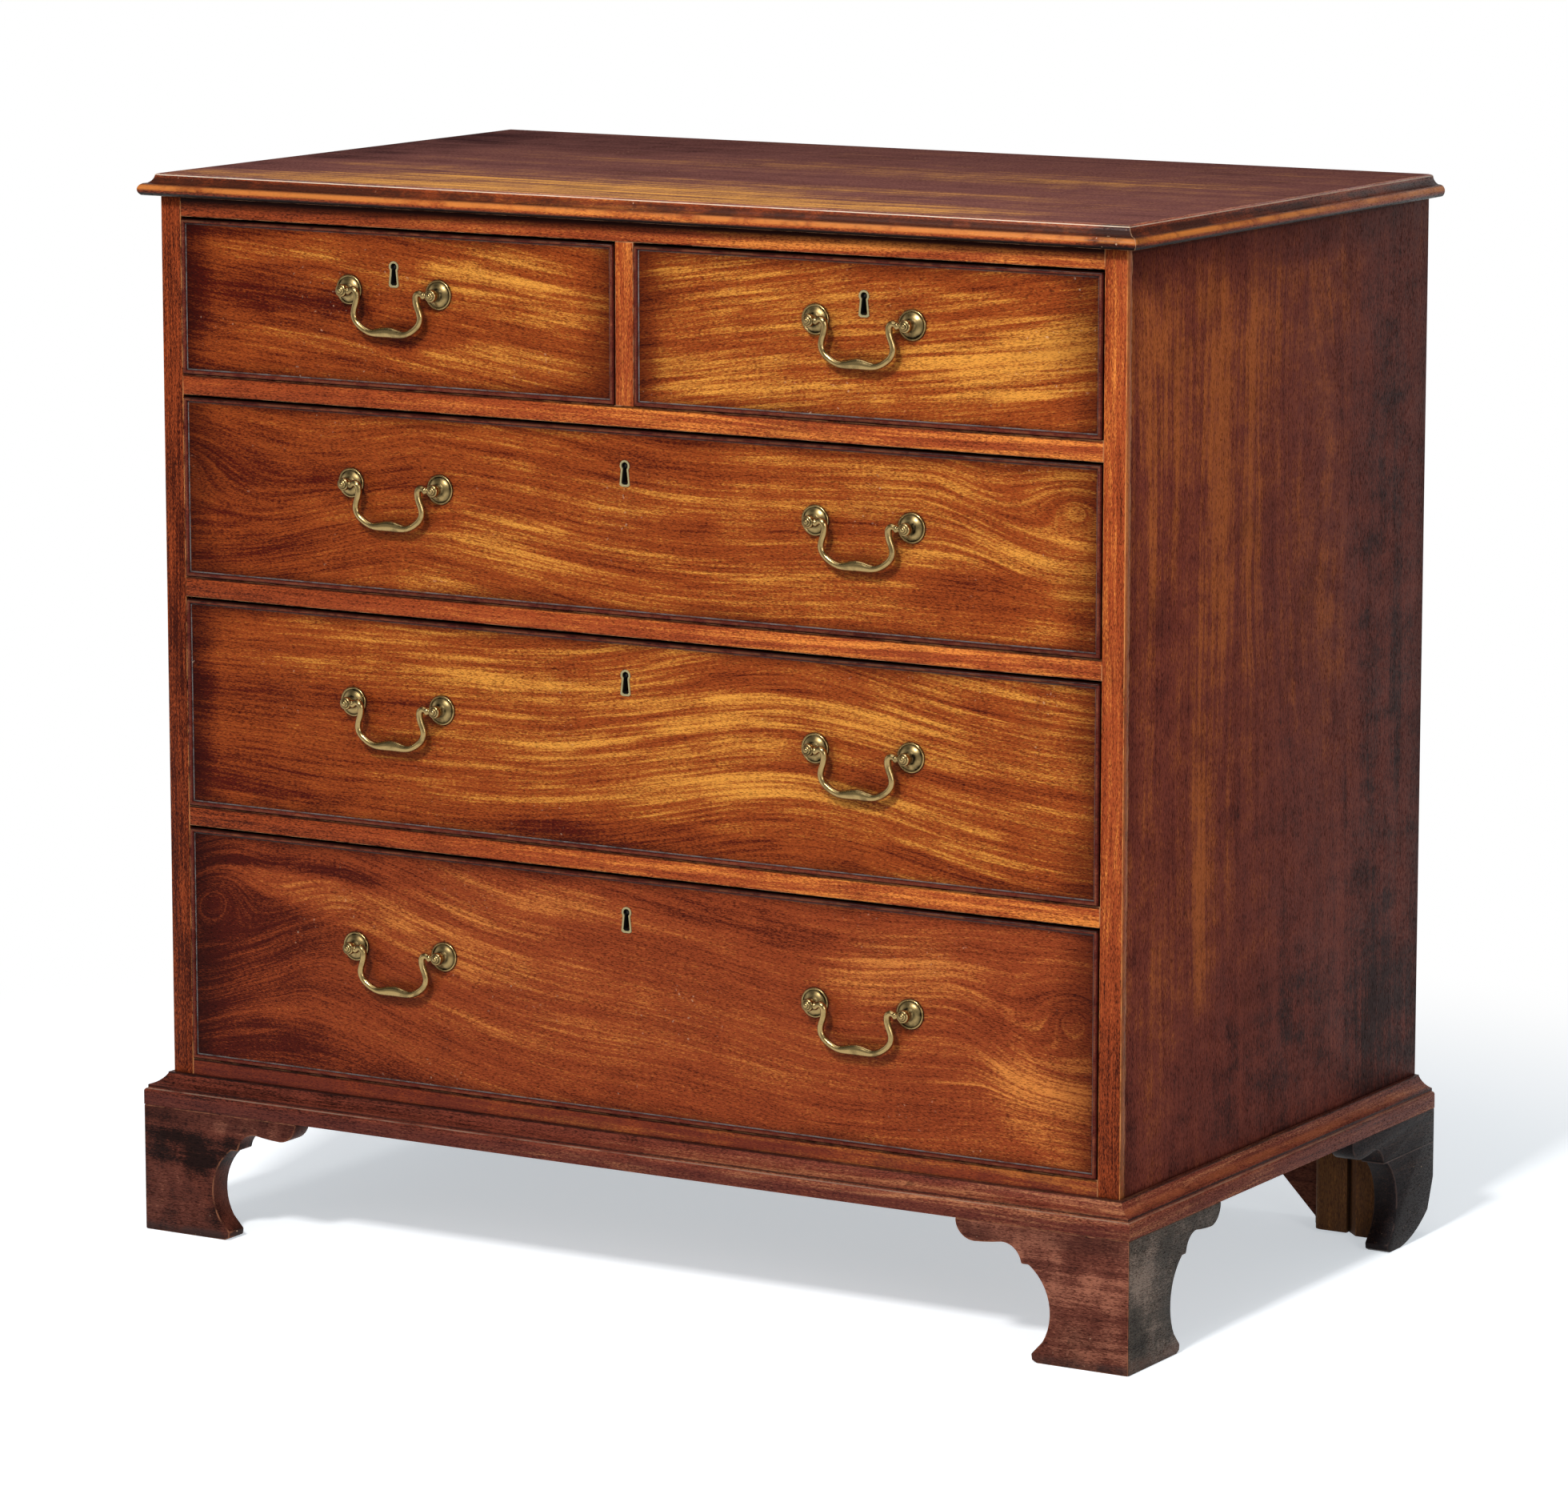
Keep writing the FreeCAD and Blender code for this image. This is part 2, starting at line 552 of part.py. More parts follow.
def left_rear_brackets():
    """Shaped side bracket and plain back bracket of the left rear foot."""
    corner_x = -HALF_WIDTH - BASE_PROUD
    side = solid_from(bracket_edges(lambda d, z: vec(corner_x, BACK - d, z), True),
                      vec(BRACKET_THICKNESS, 0, 0))
    y0 = BACK - BRACKET_THICKNESS
    inner_x = corner_x + BRACKET_THICKNESS
    back = prism([vec(inner_x, y0, 0), vec(corner_x + REAR_TOE_REACH, y0, 0),
                  vec(corner_x + REAR_TOE_REACH, y0, REAR_TOE_HEIGHT),
                  vec(corner_x + REAR_TOP_REACH, y0, FOOT_HEIGHT), vec(inner_x, y0, FOOT_HEIGHT)],
                 vec(0, BRACKET_THICKNESS, 0))
    return [side, back]


def foot_blocks():
    """Glue blocks that stand in the corners of the feet: one in front, two at the back."""
    low = BLOCK_RISE
    rise = vec(0, 0, FOOT_HEIGHT - low)
    x0 = -HALF_WIDTH - BASE_PROUD + BRACKET_THICKNESS
    x1 = x0 + CORNER_BLOCK
    x2 = x1 + SIDE_BLOCK_WIDTH
    front_y = FRONT - BASE_PROUD + BRACKET_THICKNESS
    back_y = BACK - BRACKET_THICKNESS
    corner_y = back_y - CORNER_BLOCK
    side_y = back_y - SIDE_BLOCK_DEPTH
    front = block(x0, x0 + FRONT_BLOCK, front_y, front_y + FRONT_BLOCK, low, FOOT_HEIGHT)
    corner = prism([vec(x0, back_y, low), vec(x0, corner_y, low), vec(x1 - BLOCK_CHAMFER, corner_y, low),
                    vec(x1, corner_y + BLOCK_CHAMFER, low), vec(x1, back_y, low)], rise)
    inset = SIDE_BLOCK_ROUND * (1 - math.sqrt(0.5))
    round_start = vec(x2 - SIDE_BLOCK_ROUND, side_y, low)
    round_end = vec(x2, side_y + SIDE_BLOCK_ROUND, low)
    side = solid_from([
        line(vec(x1, back_y, low), vec(x1, side_y, low)),
        line(vec(x1, side_y, low), round_start),
        arc(round_start, vec(x2 - inset, side_y + inset, low), round_end),
        line(round_end, vec(x2, back_y, low)),
        line(vec(x2, back_y, low), vec(x1, back_y, low)),
    ], rise)
    left = [front, corner, side]
    return left + [mirrored(piece) for piece in left]


# ---- drawers ----------------------------------------------------------------
def keyhole(bay, margin, y0, y1):
    """A keyhole-shaped plug between two depths; margin widens it all round."""
    head_height = bay.keyhole_height + KEYHOLE_HEIGHT / 2 - KEYHOLE_HEAD_RADIUS
    foot_height = bay.keyhole_height - KEYHOLE_HEIGHT / 2 - margin
    head_radius = KEYHOLE_HEAD_RADIUS + margin
    waist_turn = math.asin((KEYHOLE_WAIST + margin) / head_radius)
    outline = []
    for i in range(KEYHOLE_HEAD_FLATS + 1):
        turn = waist_turn + (2 * math.pi - 2 * waist_turn) * i / KEYHOLE_HEAD_FLATS
        outline.append((-head_radius * math.sin(turn), head_height - head_radius * math.cos(turn)))
    foot = KEYHOLE_FOOT + margin
    outline += [(foot, foot_height + 0.5 * KEYHOLE_FOOT), (0.6 * foot, foot_height + 0.1 * KEYHOLE_FOOT),
                (-0.6 * foot, foot_height + 0.1 * KEYHOLE_FOOT), (-foot, foot_height + 0.5 * KEYHOLE_FOOT)]
    return prism([vec(bay.middle + x, y0, z) for x, z in outline], vec(0, y1 - y0, 0))


def side_board(x0, bay):
    """One drawer side, with dovetails at both ends."""
    low = bay.front_bottom
    high = bay.front_top - DRAWER_SIDE_DROP
    y_lap = FRONT + COCKBEAD_REBATE + DOVETAIL_LAP
    y_root = FRONT + DRAWER_FRONT_THICKNESS
    y_end = BACK_INNER - DRAWER_BACK_ROOM
    y_back_root = y_end - DRAWER_SIDE_THICKNESS
    back_low = low + DRAWER_BOTTOM_RISE + DRAWER_BOTTOM_THICKNESS
    push = vec(DRAWER_SIDE_THICKNESS, 0, 0)
    board = block(x0, x0 + DRAWER_SIDE_THICKNESS, y_root, y_back_root, low, high)
    under_back = block(x0, x0 + DRAWER_SIDE_THICKNESS, y_back_root, y_end, low, back_low)
    tails = [under_back]
    for root, tip, start, stop in ((y_root, y_lap, low, high),
                                   (y_back_root, y_end, back_low, high - DRAWER_BACK_DROP)):
        count = max(2, round((stop - start) / DOVETAIL_PITCH))
        pitch = (stop - start) / count
        half = DOVETAIL_HALF_SHARE * pitch
        for i in range(count):
            z = start + pitch * (i + 0.5)
            tails.append(prism([vec(x0, root, z - half), vec(x0, tip, z - half - DOVETAIL_SLOPE),
                                vec(x0, tip, z + half + DOVETAIL_SLOPE), vec(x0, root, z + half)], push))
    return board.fuse(tails).removeSplitter()


def drawer_bottom(bay):
    inner_left = bay.front_left + DRAWER_SIDE_THICKNESS - BOTTOM_TONGUE
    inner_right = bay.front_right - DRAWER_SIDE_THICKNESS + BOTTOM_TONGUE
    low = bay.front_bottom + DRAWER_BOTTOM_RISE
    return block(inner_left, inner_right, FRONT + DRAWER_FRONT_THICKNESS - BOTTOM_TONGUE,
                 BACK_INNER - DRAWER_BACK_ROOM, low, low + DRAWER_BOTTOM_THICKNESS)


def drawer_boards(bay):
    """The two sides and the back of a drawer, dovetailed together."""
    left = side_board(bay.front_left, bay)
    right = side_board(bay.front_right - DRAWER_SIDE_THICKNESS, bay)
    y_end = BACK_INNER - DRAWER_BACK_ROOM
    back = block(bay.front_left, bay.front_right, y_end - DRAWER_SIDE_THICKNESS, y_end,
                 bay.front_bottom + DRAWER_BOTTOM_RISE + DRAWER_BOTTOM_THICKNESS,
                 bay.front_top - DRAWER_SIDE_DROP - DRAWER_BACK_DROP)
    back = back.cut([left, right])
    bottom = drawer_bottom(bay)
    return [left.cut(bottom), right.cut(bottom), back]


def drawer_front(bay):
    """Drawer front: rebated for the cockbead, cut for dovetails, bottom, lock, keyhole and shanks."""
    back_y = FRONT + DRAWER_FRONT_THICKNESS
    board = block(bay.front_left, bay.front_right, FRONT, back_y, bay.front_bottom, bay.front_top)
    field = block(bay.front_left + COCKBEAD_WIDTH, bay.front_right - COCKBEAD_WIDTH,
                  FRONT, FRONT + COCKBEAD_REBATE,
                  bay.front_bottom + COCKBEAD_WIDTH, bay.front_top - COCKBEAD_WIDTH)
    core = block(bay.front_left, bay.front_right, FRONT + COCKBEAD_REBATE, back_y,
                 bay.front_bottom, bay.front_top)
    board = board.common(field.fuse(core))
    cuts = [side_board(bay.front_left, bay),
            side_board(bay.front_right - DRAWER_SIDE_THICKNESS, bay),
            drawer_bottom(bay), lock_space(bay),
            keyhole(bay, LINER_WALL, FRONT - 1, FRONT + LINER_DEPTH),
            keyhole(bay, 0, FRONT, back_y)]
    hole = SHANK_RADIUS + SHANK_CLEARANCE
    bore = [(1, hole), (-DRAWER_FRONT_THICKNESS - 1, hole)]
    cuts += [turned(x, bay.pivot_height, bore, SHANK_SIDES) for x in post_places(bay)]
    return board.cut(cuts).removeSplitter()


def cockbead(bay):
    """Four mitred strips round the drawer front."""
    flat = COCKBEAD_PROUD - COCKBEAD_ROUND
    section = [(0, -COCKBEAD_REBATE), (COCKBEAD_WIDTH, -COCKBEAD_REBATE), (COCKBEAD_WIDTH, flat),
               (COCKBEAD_WIDTH - COCKBEAD_ROUND, COCKBEAD_PROUD), (COCKBEAD_ROUND, COCKBEAD_PROUD), (0, flat)]

    def at_corner(x, z, toward_x, toward_z):
        return [vec(x + toward_x * w, FRONT - out, z + toward_z * w) for w, out in section]

    corners = [at_corner(bay.front_left, bay.front_bottom, 1, 1),
               at_corner(bay.front_right, bay.front_bottom, -1, 1),
               at_corner(bay.front_right, bay.front_top, -1, -1),
               at_corner(bay.front_left, bay.front_top, 1, -1)]
    return [skinned([corners[i], corners[(i + 1) % 4]]) for i in range(4)]


# ---- locks ------------------------------------------------------------------
def lock_space(bay):
    """Recess for the lock in the back and top edge of the drawer front."""
    back_y = FRONT + DRAWER_FRONT_THICKNESS
    half = LOCK_WIDTH / 2
    return block(bay.middle - half, bay.middle + half, back_y - LOCK_DEPTH, back_y,
                 bay.front_top - LOCK_HEIGHT, bay.front_top)


def lock(bay):
    """Keyhole liner, lock plate with its top edge round the bolt, and the pin for the key."""
    back_y = FRONT + DRAWER_FRONT_THICKNESS
    half = LOCK_WIDTH / 2
    liner = keyhole(bay, LINER_WALL, FRONT - LINER_PROUD, FRONT + LINER_DEPTH)
    liner = liner.cut(keyhole(bay, 0, FRONT - 1, FRONT + LINER_DEPTH + 1))
    plate = block(bay.middle - half, bay.middle + half, back_y - LOCK_PLATE, back_y,
                  bay.front_top - LOCK_HEIGHT, bay.front_top)
    selvage = block(bay.middle - half, bay.middle + half, back_y - LOCK_DEPTH, back_y - LOCK_PLATE,
                    bay.front_top - LOCK_PLATE, bay.front_top)
    case = plate.fuse(selvage).removeSplitter()
    case = case.cut(bolt_box(bay, BOLT_CLEARANCE, bay.front_top - BOLT_HEIGHT, bay.front_top + 1))
    pin_height = bay.keyhole_height + KEYHOLE_HEIGHT / 2 - KEYHOLE_HEAD_RADIUS
    pin = turned(bay.middle, pin_height,
                 [(LOCK_PLATE - DRAWER_FRONT_THICKNESS, KEY_PIN_RADIUS), (-KEY_PIN_SUNK, KEY_PIN_RADIUS)],
                 SHANK_SIDES)
    return [liner, case, pin]


def lock_bolt(bay):
    """The bolt, drawn back: its top is level with the drawer front's top edge."""
    return bolt_box(bay, 0, bay.front_top - BOLT_HEIGHT, bay.front_top)


# ---- handles ----------------------------------------------------------------
def post_places(bay):
    """The x of every post of a drawer, left to right."""
    places = []
    for x in bay.handles.values():
        places += [x - HANDLE_CENTRES / 2, x + HANDLE_CENTRES / 2]
    return places


def rose(x, z):
    """Round plate under a post: a beaded rim and a low crown."""
    plate = turned(x, z, [(0, ROSE_RADIUS), (ROSE_EDGE, ROSE_RADIUS),
                          (ROSE_EDGE + 0.7 * ROSE_BEAD, ROSE_RADIUS - ROSE_BEAD),
                          (ROSE_CROWN, NECK_RADIUS + ROSE_BEAD)], ROSE_SIDES)
    return plate.cut(turned(x, z, [(-1, SHANK_RADIUS), (ROSE_CROWN + 1, SHANK_RADIUS)], SHANK_SIDES))


def post(x, z, toward):
    """Turned post with its shank; toward is the side (+1 or -1) on which the bail enters."""
    turned_part = turned(x, z, [
        (ROSE_CROWN, NECK_RADIUS + ROSE_BEAD), (ROSE_CROWN + NECK_FLARE, NECK_RADIUS),
        (PIVOT_REACH - KNOB_LENGTH / 2, KNOB_RADIUS), (PIVOT_REACH + KNOB_LENGTH / 2, KNOB_RADIUS),
        (KNOB_REACH, BUTTON_RADIUS)], POST_SIDES)
    shank = turned(x, z, [(-DRAWER_FRONT_THICKNESS, SHANK_RADIUS), (ROSE_CROWN, SHANK_RADIUS)], SHANK_SIDES)
    hole_radius = PIN_RADIUS + PIVOT_CLEARANCE
    bottom_x = x + toward * (KNOB_RADIUS - PIN_DEPTH - PIVOT_CLEARANCE)
    mouth_x = x + toward * (KNOB_RADIUS + 1)
    across, up = vec(0, toward, 0), vec(0, 0, 1)
    hole = skinned([ring(vec(end, FRONT - PIVOT_REACH, z), hole_radius, SHANK_SIDES, across, up)
                    for end in (bottom_x, mouth_x)])
    return turned_part.fuse(shank).removeSplitter().cut(hole)


def nut(x, z):
    return turned(x, z, [(-DRAWER_FRONT_THICKNESS, NUT_RADIUS),
                         (-DRAWER_FRONT_THICKNESS - NUT_THICKNESS, NUT_RADIUS)], SHANK_SIDES)


def handle_posts(bay):
    """Roses, posts and nuts of a drawer's handles."""
    pieces = []
    for i, x in enumerate(post_places(bay)):
        toward = 1 if i % 2 == 0 else -1
        pieces += [rose(x, bay.pivot_height), post(x, bay.pivot_height, toward), nut(x, bay.pivot_height)]
    return pieces


def rounded_route(corners):
    """Points and directions along a route in the X-Z plane; corners are (x, z, radius of the bend)."""
    places = [vec(x, 0, z) for x, z, radius in corners]
    stations = [(places[0], (places[1] - places[0]).normalize())]
    for i in range(1, len(corners) - 1):
        before = (places[i] - places[i - 1]).normalize()
        after = (places[i + 1] - places[i]).normalize()
        radius = corners[i][2]
        turn = math.atan2(before.cross(after).y, before.dot(after))
        start = places[i] - before * (radius * math.tan(abs(turn) / 2))
        sideways = vec(0, math.copysign(1, turn), 0).cross(before)
        centre = start + sideways * radius
        steps = max(1, round(abs(turn) / BAIL_TURN))
        for step in range(steps + 1):
            rotation = FreeCAD.Rotation(vec(0, 1, 0), math.degrees(turn) * step / steps)
            place = centre + rotation.multVec(start - centre)
            if (place - stations[-1][0]).Length > BAIL_RADIUS / 2:
                stations.append((place, rotation.multVec(before)))
    stations.append((places[-1], (places[-1] - places[-2]).normalize()))
    return stations


def bail(bay, middle):
    """Swan-neck bail, hanging: in at the posts, over an arch, down the necks and round to the grip."""
    knob_face = HANDLE_CENTRES / 2 - KNOB_RADIUS
    bead_place = knob_face - 0.5 * BAIL_RADIUS
    grip_end = GRIP_REACH_SHARE * BAIL_WIDEST_REACH
    half = [
        (knob_face - 0.8 * BAIL_RADIUS, 0.0, 0.0),
        (BAIL_NECK_REACH + BAIL_ARCH_OUT, BAIL_ARCH_RISE, BAIL_ARCH_BEND),
        (BAIL_NECK_REACH - BAIL_NECK_IN, -NECK_DROP_SHARE * BAIL_DROP, BAIL_NECK_BEND),
        (ELBOW_REACH_SHARE * BAIL_WIDEST_REACH, -ELBOW_DROP_SHARE * BAIL_DROP, BAIL_ELBOW_BEND),
        (grip_end, -BAIL_DROP, BAIL_GRIP_BEND),
    ]
    route = half + [(0.0, -BAIL_DROP, 0.0)] + [(-x, z, radius) for x, z, radius in reversed(half)]
    pivot = vec(middle, FRONT - PIVOT_REACH, bay.pivot_height)
    across, up = vec(0, -1, 0), vec(0, 0, 1)

    def straight_ring(x, radius):
        return ring(pivot + vec(x, 0, 0), radius, BAIL_SIDES, across, up)

    pin_end, pin_root = knob_face + PIN_DEPTH, knob_face - BEAD_CLEARANCE
    start = [straight_ring(pin_end, PIN_RADIUS), straight_ring(pin_root, PIN_RADIUS),
             straight_ring(bead_place, BAIL_BEAD_RADIUS)]
    end = [straight_ring(-bead_place, BAIL_BEAD_RADIUS), straight_ring(-pin_root, PIN_RADIUS),
           straight_ring(-pin_end, PIN_RADIUS)]
    wire = []
    for place, direction in rounded_route(route):
        in_grip = place.z < -BAIL_DROP / 2 and abs(place.x) < grip_end
        swelling = 1 - abs(place.x) / grip_end if in_grip else 0
        radius = BAIL_RADIUS + (GRIP_RADIUS - BAIL_RADIUS) * swelling
        wire.append(ring(pivot + place, radius, BAIL_SIDES, across, direction.cross(across)))
    return skinned(start + wire + end)


# ---- nodes ------------------------------------------------------------------
def save(name, pieces):
    """Write one node; a list of pieces becomes a group of separate solids."""
    if isinstance(pieces, list):
        shape = Part.makeCompound(pieces)
    else:
        shape = pieces
    shape.exportStep("parts/" + name + ".step")


def save_carcass():
    left_side = side_left()
    front_left = left_front_brackets()
    rear_left = left_rear_brackets()
    save("top_board", top_board())
    save("top_moulding", mitred_mouldings(top_edge_profile, TOP_PROUD, CARCASS_TOP, TOTAL_HEIGHT))
    save("side_left", left_side)
    save("side_right", mirrored(left_side))
    save("stiles", stiles())
    save("rails", rails())
    save("muntin", muntin())
    save("bottom_board", bottom_board())
    save("back_boards", back_boards())
    save("runners", runners())
    save("dust_boards", dust_boards())
    save("guide_and_kickers", guide_and_kickers())
    save("drawer_stops", drawer_stops())
    save("base_moulding", mitred_mouldings(base_profile, BASE_PROUD, FOOT_HEIGHT, BASE_TOP))
    save("front_feet", front_left + [mirrored(piece) for piece in front_left])
    save("rear_feet", rear_left + [mirrored(piece) for piece in rear_left])
    save("foot_blocks", foot_blocks())


def save_drawer(bay):
    save(bay.name + "_front", drawer_front(bay))
    save(bay.name + "_cockbead", cockbead(bay))
    save(bay.name + "_boards", drawer_boards(bay))
    save(bay.name + "_base", drawer_bottom(bay))
    save(bay.name + "_posts", handle_posts(bay))
    save(bay.name + "_lock", lock(bay))
    save(bay.name + "_bolt", lock_bolt(bay))
    for side, middle in bay.handles.items():
        name = bay.name + "_bail"
        if side:
            name += "_" + side
        save(name, bail(bay, middle))


os.makedirs("parts", exist_ok=True)
save_carcass()
for bay in BAYS:
    save_drawer(bay)
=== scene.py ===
import json
import math

import bmesh
import bpy
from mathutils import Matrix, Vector

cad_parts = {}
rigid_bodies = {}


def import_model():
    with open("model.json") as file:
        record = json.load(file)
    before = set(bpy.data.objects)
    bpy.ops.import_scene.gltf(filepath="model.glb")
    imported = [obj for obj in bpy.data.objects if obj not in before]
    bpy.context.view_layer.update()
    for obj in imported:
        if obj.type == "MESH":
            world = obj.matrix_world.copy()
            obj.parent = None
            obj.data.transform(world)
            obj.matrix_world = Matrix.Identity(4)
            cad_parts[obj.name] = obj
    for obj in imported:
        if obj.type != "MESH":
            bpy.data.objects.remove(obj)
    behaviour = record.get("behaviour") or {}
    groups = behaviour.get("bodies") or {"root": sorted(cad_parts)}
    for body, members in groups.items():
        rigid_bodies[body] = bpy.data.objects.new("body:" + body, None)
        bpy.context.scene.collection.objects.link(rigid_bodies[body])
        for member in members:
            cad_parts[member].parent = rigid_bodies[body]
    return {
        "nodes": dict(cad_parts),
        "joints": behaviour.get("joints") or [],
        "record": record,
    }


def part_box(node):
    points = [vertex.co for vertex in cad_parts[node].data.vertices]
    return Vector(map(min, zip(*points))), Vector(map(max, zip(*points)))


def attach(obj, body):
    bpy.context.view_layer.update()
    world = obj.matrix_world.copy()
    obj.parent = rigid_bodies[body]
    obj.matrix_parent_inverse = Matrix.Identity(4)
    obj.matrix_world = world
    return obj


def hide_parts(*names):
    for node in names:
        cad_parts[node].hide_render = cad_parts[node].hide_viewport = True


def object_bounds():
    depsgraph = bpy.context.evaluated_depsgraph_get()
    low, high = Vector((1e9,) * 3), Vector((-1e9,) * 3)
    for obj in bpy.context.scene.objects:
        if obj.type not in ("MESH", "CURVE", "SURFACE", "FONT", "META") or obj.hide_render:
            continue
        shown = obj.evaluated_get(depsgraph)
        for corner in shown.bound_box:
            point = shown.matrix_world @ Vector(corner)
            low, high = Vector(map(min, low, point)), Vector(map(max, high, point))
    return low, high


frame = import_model()
cad_low, cad_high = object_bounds()

# Looks of the chest of drawers: finish of every board, softened arrises, cast brass handles.
# Metres, in the frame's own axes: front faces -Y, +X to the right, +Z up.
# The lists of marks on a board are in millimetres.

MM = 0.001

# ---- places read from the frame ----
DRAWERS = ("drawer_top_left", "drawer_top_right", "drawer_second", "drawer_third", "drawer_bottom")
FRONTS = {name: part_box(name + "_front") for name in DRAWERS}
FRONT_Y = FRONTS["drawer_bottom"][0].y
SIDE_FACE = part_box("side_right")[1].x
FOOT_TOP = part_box("front_feet")[1].z
PIVOTS = {joint["child"]: Vector(joint["pos_m"]) for joint in frame["joints"] if joint["type"] == "hinge"}
DRAWER_OF = {joint["child"]: joint["parent"] for joint in frame["joints"]}
BODY_OF = {node: body for body, nodes in frame["record"]["behaviour"]["bodies"].items() for node in nodes}

# ---- sizes that the finish adds ----
ARRIS = 0.5 * MM               # softening of planed arrises
WORN_ARRIS = 0.9 * MM          # of mouldings and feet
ARRIS_STEPS = 2                # facets across a softened arris
SHARP_FROM = math.radians(28)  # edges flatter than this belong to a curve
BRACKET_THICKNESS = 20 * MM
BEAD_WIDTH = 3.0 * MM
BEAD_DEPTH = 5.0 * MM          # of the cockbead behind the front's face

# ---- colours ----
RED_GOLD = ("480f06", "8d3f17", "d28d39")      # drawer fronts: dark, middle and light wood
RED_BROWN = ("431007", "883b1b", "c87a38")     # lowest drawer front
ORANGE_BROWN = ("3a1108", "96421f", "dc843a")  # rails, stiles, muntin, top moulding
DARK_RED = ("2a1210", "703428", "a0562c")      # sides
TOP_BROWN = ("382325", "754b45", "d6984f")
BASE_BROWN = ("1c0a08", "6f3426", "ac704c")
BEAD_BROWN = ("240c0a", "562018", "84402a")
FOOT_BROWN = ("1c0d0a", "5b2f24", "905a46")
FLANK_BROWN = ("161514", "474039", "857468")   # sides of the front feet
REAR_BROWN = ("0b0a0c", "1e1a1c", "4a352c")    # sides of the rear feet
PINE_TONES = ("4a331f", "8a6439", "b48a55")
CRUSTED = "1a0c09"             # old dirt and wax
CORNER_DIRT_AND_SHADE = "0d0706"               # dirt lying in corners
# dirt and painted shade in corners, hollows and behind the handles
SCRATCHED = "120807"
NICKED = "d8b496"              # bare wood in a nick
EDGE_SHADE = "6c423a"          # darkens the colour towards a board's edge
# Pale line beside a drawer's bead: dust and a painted highlight on the bead's lit edge.
DUST_AND_HIGHLIGHT = "8f8c8a"
PORE_SHADE = (0.24, 0.15, 0.13, 1.0)
WHITE = (1, 1, 1, 1)


def paint(code):
    """A colour from its sRGB hex code, in linear light."""
    levels = [int(code[i:i + 2], 16) / 255 for i in (0, 2, 4)]
    linear = [level / 12.92 if level <= 0.04045 else ((level + 0.055) / 1.055) ** 2.4 for level in levels]
    return (*linear, 1.0)


# ---- building node trees ----
def by_node(operation, swapped=False):
    """A method that puts in a node for one kind of sum and returns its output."""
    def method(self, other=0.0):
        return self.graph.math(operation, *((other, self) if swapped else (self, other)))
    return method


class Level:
    """A node's output, which can be added to, multiplied and so on."""

    def __init__(self, graph, socket):
        self.graph, self.socket = graph, socket

    __add__ = __radd__ = by_node("ADD")
    __sub__, __rsub__ = by_node("SUBTRACT"), by_node("SUBTRACT", swapped=True)
    __mul__ = __rmul__ = by_node("MULTIPLY")
    __truediv__ = by_node("DIVIDE")
    __abs__ = by_node("ABSOLUTE")


class Graph:
    """A node tree under construction; most methods add a node and return its output.

    A node's kind is written without the family's name, ShaderNode or GeometryNode.
    """

    def __init__(self, tree):
        self.tree = tree
        self.family = tree.bl_idname.removesuffix("Tree")

    def feed(self, socket, value):
        """Links an output to a socket or sets a value there; a text is a colour's hex code."""
        if isinstance(value, Level):
            self.tree.links.new(value.socket, socket)
        else:
            socket.default_value = paint(value) if isinstance(value, str) else value

    def node(self, kind, values=None, **settings):
        made = self.tree.nodes.new(self.family + kind)
        for name, value in settings.items():
            setattr(made, name, value)
        for key, value in (values or {}).items():
            self.feed(made.inputs[key], value)
        return made

    def out(self, kind, values=None, which=0, **settings):
        return Level(self, self.node(kind, values, **settings).outputs[which])

    def math(self, operation, a, b=0.0, clamp=False):
        return self.out("Math", {0: a, 1: b}, operation=operation, use_clamp=clamp)

    def vector(self, x, y, z):
        return self.out("CombineXYZ", {0: x, 1: y, 2: z})

    def axes(self, vector):
        return [Level(self, axis) for axis in self.node("SeparateXYZ", {0: vector}).outputs]

    def noise(self, place, scale, detail=2.0, roughness=0.5):
        """Smooth noise, from about 0 to 1. scale is its fineness, or the fineness along each axis."""
        fineness = scale if isinstance(scale, tuple) else (scale, scale, scale)
        drawn = self.out("VectorMath", {0: place, 1: fineness}, operation="MULTIPLY")
        return self.out("TexNoise", {"Vector": drawn, "Scale": 1.0, "Detail": detail, "Roughness": roughness})

    def span(self, value, low, high, start=0.0, end=1.0):
        """The value moved smoothly from the range low..high to start..end, and held inside it."""
        values = {"Value": value, "From Min": low, "From Max": high, "To Min": start, "To Max": end}
        return self.out("MapRange", values, interpolation_type="SMOOTHSTEP")

    def blend(self, amount, a, b, kind="MIX"):
        return self.out("Mix", {0: amount, 6: a, 7: b}, 2, data_type="RGBA", blend_type=kind)

    def mixed(self, share, a, b):
        return self.out("MixShader", {0: share, 1: a, 2: b})

    def shut_in(self, reach):
        """1 in the open, less in corners and hollows within reach."""
        return self.out("AmbientOcclusion", {"Distance": reach}, "AO", samples=6)

    def attribute(self, name):
        return self.out("Attribute", None, "Fac", attribute_name=name)

    def group(self, tree, *values, **named):
        """Puts in a node group, fed in order and by name; returns its outputs, or the only one."""
        made = self.node("Group", node_tree=tree)
        for socket, value in zip(made.inputs, values):
            self.feed(socket, value)
        for name, value in named.items():
            self.feed(made.inputs[label_of(name)], value)
        results = [Level(self, socket) for socket in made.outputs]
        return results if len(results) > 1 else results[0]


SOCKET_KINDS = {"Place": "Vector", "Colour": "Color", "Dark": "Color", "Middle": "Color", "Light": "Color",
                "Geometry": "Geometry", "Piece": "Object", "Finish": "Material", "Sides": "Int"}


def label_of(name):
    return name.capitalize().replace("_", " ")


